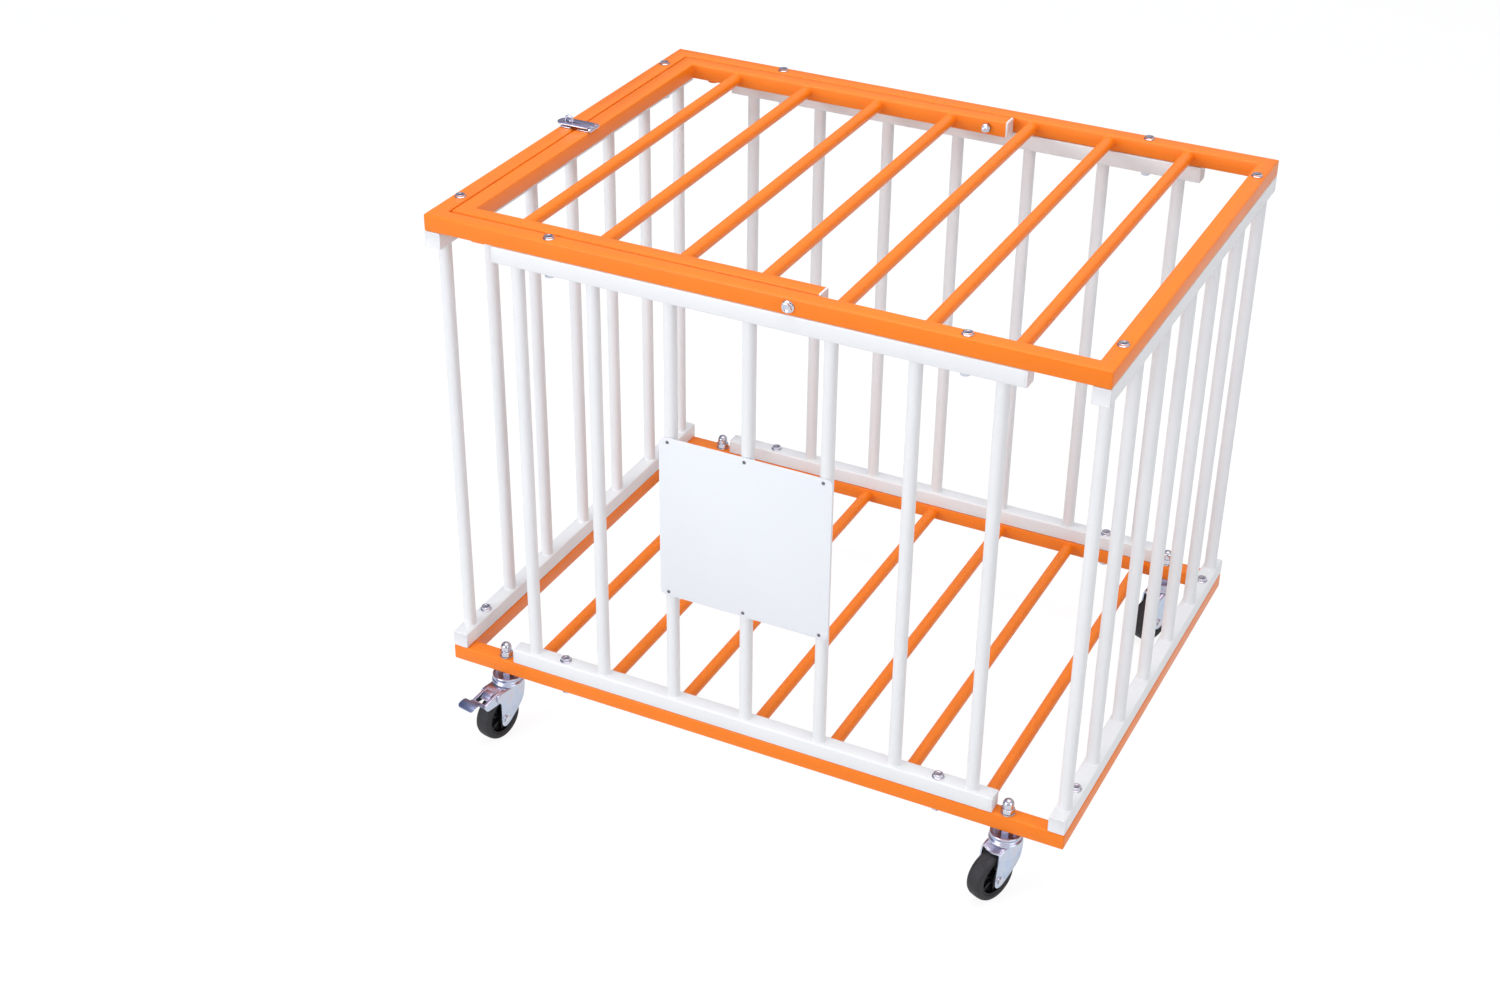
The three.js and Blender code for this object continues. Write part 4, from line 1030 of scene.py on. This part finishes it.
# The brake pedal: a channel between the cheeks, a bent tongue in its window and a rolled lip
pedal = {"half": 15.2, "sheet": 1.5, "nose": 76, "heel": 20, "low": 60, "top": 93.1, "fall": 13, "bend": 2.6,
         "window": (9.6, 41, 64.5), "windowCorner": 1.6, "tongue": 8.2, "pin": (36.5, 83.5), "edge": 0.3,
         "lip": 15, "lipEnd": 96.9, "lipCorner": 4, "lipEdge": 0.35}
pedalSide = [(27, 99), (27.1, 88), (27.5, 77), (29, 72.2), (31.8, 70.2), (60, 70.2), (64, 71.4), (66.6, 74.8),
             (69.2, 80), (70.3, 83), (70.3, 99)]
tongueLine = [(38.5, 87.7), (42, 87.4), (45, 86.6), (47.5, 84.8), (49.8, 82.5), (52, 81.1), (54, 80.8)]
lipLine = [(66.5, 81.0), (69.5, 80.9), (72, 81.8), (74.4, 84.8), (76.6, 88.2), (79.4, 90.6), (83, 91.5),
           (87.5, 91.3), (91.5, 90.2), (95, 88.4), (99, 85.6)]


def pedalPattern():
    half, sheet = pedal["half"], pedal["sheet"]
    shell = channel((-half, -pedal["nose"], pedal["low"]), (half, -pedal["heel"], pedal["top"]))
    lowerPicked(shell, pedal["fall"], lambda co: co.z > 80 and -co.y > 70)
    bevelPicked(shell, "EDGE", pedal["bend"], 4, lambda place, way: place.z > 80 and abs(way.y) > 0.9)
    thicken(shell, sheet, -1)
    combine(shell, sideShape(pedalSide, half + 2), "INTERSECT")
    across, near, far = pedal["window"]
    window = block((-across, -far, 66), (across, -near, 99))
    bevelPicked(window, "EDGE", pedal["windowCorner"], 3, along("z"))
    combine(shell, window, "DIFFERENCE")
    softenEdges(shell, pedal["edge"], 2, 50)
    tongue = softenEdges(bentStrip(smoothLine(tongueLine, 4), pedal["tongue"], sheet), pedal["edge"])
    pins = sideRivets([(0, -4), (2, -4), (2, 0.3), (1.4, 0.7), (0, 0.8)], *pedal["pin"])
    return joinAll([shell, tongue, *pins])


# The lip rises from the pedal's end and rolls down in front
def lipPattern():
    half, corner, end = pedal["lip"], pedal["lipCorner"], pedal["lipEnd"]
    lip = bentStrip(smoothLine(lipLine, 4), half, pedal["sheet"])
    arc = [(half - corner + corner * math.sin(quarterTurn * i / 6),
            corner - end - corner * math.cos(quarterTurn * i / 6), 60) for i in range(7)]
    plan = arc + [(half, -60, 60), (-half, -60, 60)] + [(-x, y, z) for x, y, z in reversed(arc)]
    combine(lip, raised(plan, (0, 0, 50)), "INTERSECT")
    return softenEdges(lip, pedal["lipEdge"], 2, 50)


forkShapes = {True: forkPattern(True), False: forkPattern(False)}
print("forks made")
axleShape, hubShape, tyreShape = axlePattern(), hubPattern(), tyrePattern()
pedalShape, lipShape = pedalPattern(), lipPattern()
casterX = cage["length"] / 2 - caster["inset"]
corners = [("front_left", -1, -1, 11, True), ("front_right", 1, -1, 22, False),
           ("rear_left", -1, 1, 15, True), ("rear_right", 1, 1, 22, False)]
for name, endX, endY, swivel, braked in corners:
    place = shift(endX * casterX, endY * frontY, 0) @ turn(-math.radians(swivel), "Z")
    pieces = [
        (stemShape, "casterStem", "cage", brightZinc, "caster_stem"),
        (nutShape, "domeNut", "cage", boltZinc, "dome_nut"),
        (forkShapes[braked], "casterFork", f"fork_{name}", brightZinc, "caster_fork"),
        (axleShape, "wheelAxle", f"fork_{name}", boltZinc, "axle"),
        (hubShape, "wheelHub", f"wheel_{name}", blackPlastic, "wheel_hub"),
        (tyreShape, "wheelTyre", f"wheel_{name}", tyreRubber, "tyre"),
    ]
    if braked:
        pieces += [(pedalShape, "brakePedal", f"pedal_{name}", brightZinc, "brake_pedal"),
                   (lipShape, "pedalLip", f"pedal_{name}", shadedLipZinc, "")]
    for shape, title, body, look, node in pieces:
        finishPiece(copyOf(shape), f"{title}_{name}", body, look, node and f"{node}_{name}", move=place)
discard(*forkShapes.values(), stemShape, nutShape, axleShape, hubShape, tyreShape, pedalShape, lipShape)
print("casters made")

# Floor, light and camera
studio = {"floor": 40.0, "floorColour": (0.58, 0.58, 0.59), "floorRough": 0.9, "floorGlow": 0.72,
          "glossGlow": 0.6, "glowLevel": 1.22, "world": 0.51, "worldColour": (0.97, 0.98, 1.0), "sky": 1.0,
          "leftSpan": (-0.85, 0.15), "leftTint": (0.22, 0.28, 0.46)}
# What the metal mirrors, from straight down to straight up: the floor, dim walls and softboxes
mirrorStops = [(0.0, (0.9, 0.88, 0.88)), (0.46, (0.62, 0.56, 0.57)), (0.52, (0.1, 0.105, 0.14)),
               (0.6, (0.3, 0.34, 0.45)), (0.7, (0.95, 0.97, 1.0)), (1.0, (1.0, 1.0, 1.0))]


def makeFloor():
    bpy.ops.mesh.primitive_plane_add(size=studio["floor"], location=(0, 0, 0))
    floor = bpy.context.object
    floor.name = "studioFloor"
    look, tree, shader = newLook("studioFloor", "")
    feed(shader, {"Base Color": studio["floorColour"], "Roughness": studio["floorRough"]})
    glow = addNode(tree, "Emission", {"Strength": studio["glowLevel"]}).outputs["Emission"]
    path = addNode(tree, "LightPath").outputs
    seen = times(tree, path["Is Camera Ray"], studio["floorGlow"])
    mirrored = times(tree, path["Is Glossy Ray"], studio["glossGlow"])
    share = addNode(tree, "Math", {0: seen, 1: mirrored}, operation="ADD").outputs["Value"]
    surface = mixShader(tree, share, shader.outputs["BSDF"], glow)
    feed(tree.nodes["Material Output"], {"Surface": surface})
    floor.data.materials.append(look)


def background(tree, colour, strength=1.0):
    inputs = {"Color": colour, "Strength": strength}
    return addNode(tree, "Background", inputs).outputs["Background"]


def makeWorld():
    world = bpy.data.worlds.new("studioWorld")
    bpy.context.scene.world = world
    world.use_nodes = True
    tree = world.node_tree
    tree.nodes.clear()
    white = (1.0, 1.0, 1.0)
    way = addNode(tree, "TexCoord").outputs["Generated"]
    parts = addNode(tree, "SeparateXYZ", {"Vector": way}).outputs
    shade = addRamp(tree, spanned(tree, parts["Z"], -1.0, 1.0), mirrorStops)
    leftTint = mixColour(tree, spanned(tree, parts["X"], *studio["leftSpan"]), studio["leftTint"], white)
    mirrored = background(tree, mixColour(tree, 1.0, shade, leftTint, "MULTIPLY"))
    path = addNode(tree, "LightPath").outputs
    soft = background(tree, studio["worldColour"], studio["world"])
    lit = mixShader(tree, path["Is Glossy Ray"], soft, mirrored)
    seen = mixShader(tree, path["Is Camera Ray"], lit, background(tree, white, studio["sky"]))
    addNode(tree, "OutputWorld", {"Surface": seen})


def addLamp(name, place, target, size, power, colour):
    bpy.ops.object.light_add(type="AREA", location=place)
    lamp = bpy.context.object
    lamp.name = name
    lamp.data.shape = "RECTANGLE"
    lamp.data.size, lamp.data.size_y = size
    lamp.data.energy = power
    lamp.data.color = colour
    lamp.rotation_euler = (Vector(target) - Vector(place)).to_track_quat("-Z", "Y").to_euler()


makeFloor()
makeWorld()
addLamp("topSoftbox", (0.0, -0.1, 3.6), (0, 0, 0.5), (3.4, 2.8), 76, (0.98, 0.99, 1.0))
addLamp("leftSoftbox", (-2.6, -4.8, 2.0), (0, 0, 0.4), (2.6, 2.6), 148, (0.97, 0.985, 1.0))
addLamp("rightSoftbox", (4.4, -2.0, 1.4), (0, 0, 0.5), (2.4, 2.0), 40, (0.98, 0.99, 1.0))

view = {"place": (1.174680, -2.678700, 2.129909), "turn": (58.690977, -0.536198, 26.730869), "lens": 53.5641}
bpy.ops.object.camera_add(location=view["place"], rotation=[math.radians(angle) for angle in view["turn"]])
camera = bpy.context.object
camera.name = "mainCamera"
camera.data.sensor_width = 36
camera.data.lens = view["lens"]
camera.data.clip_end = 100
bpy.context.scene.camera = camera
bpy.context.scene.view_settings.view_transform = "Standard"
print("floor, light and camera made")
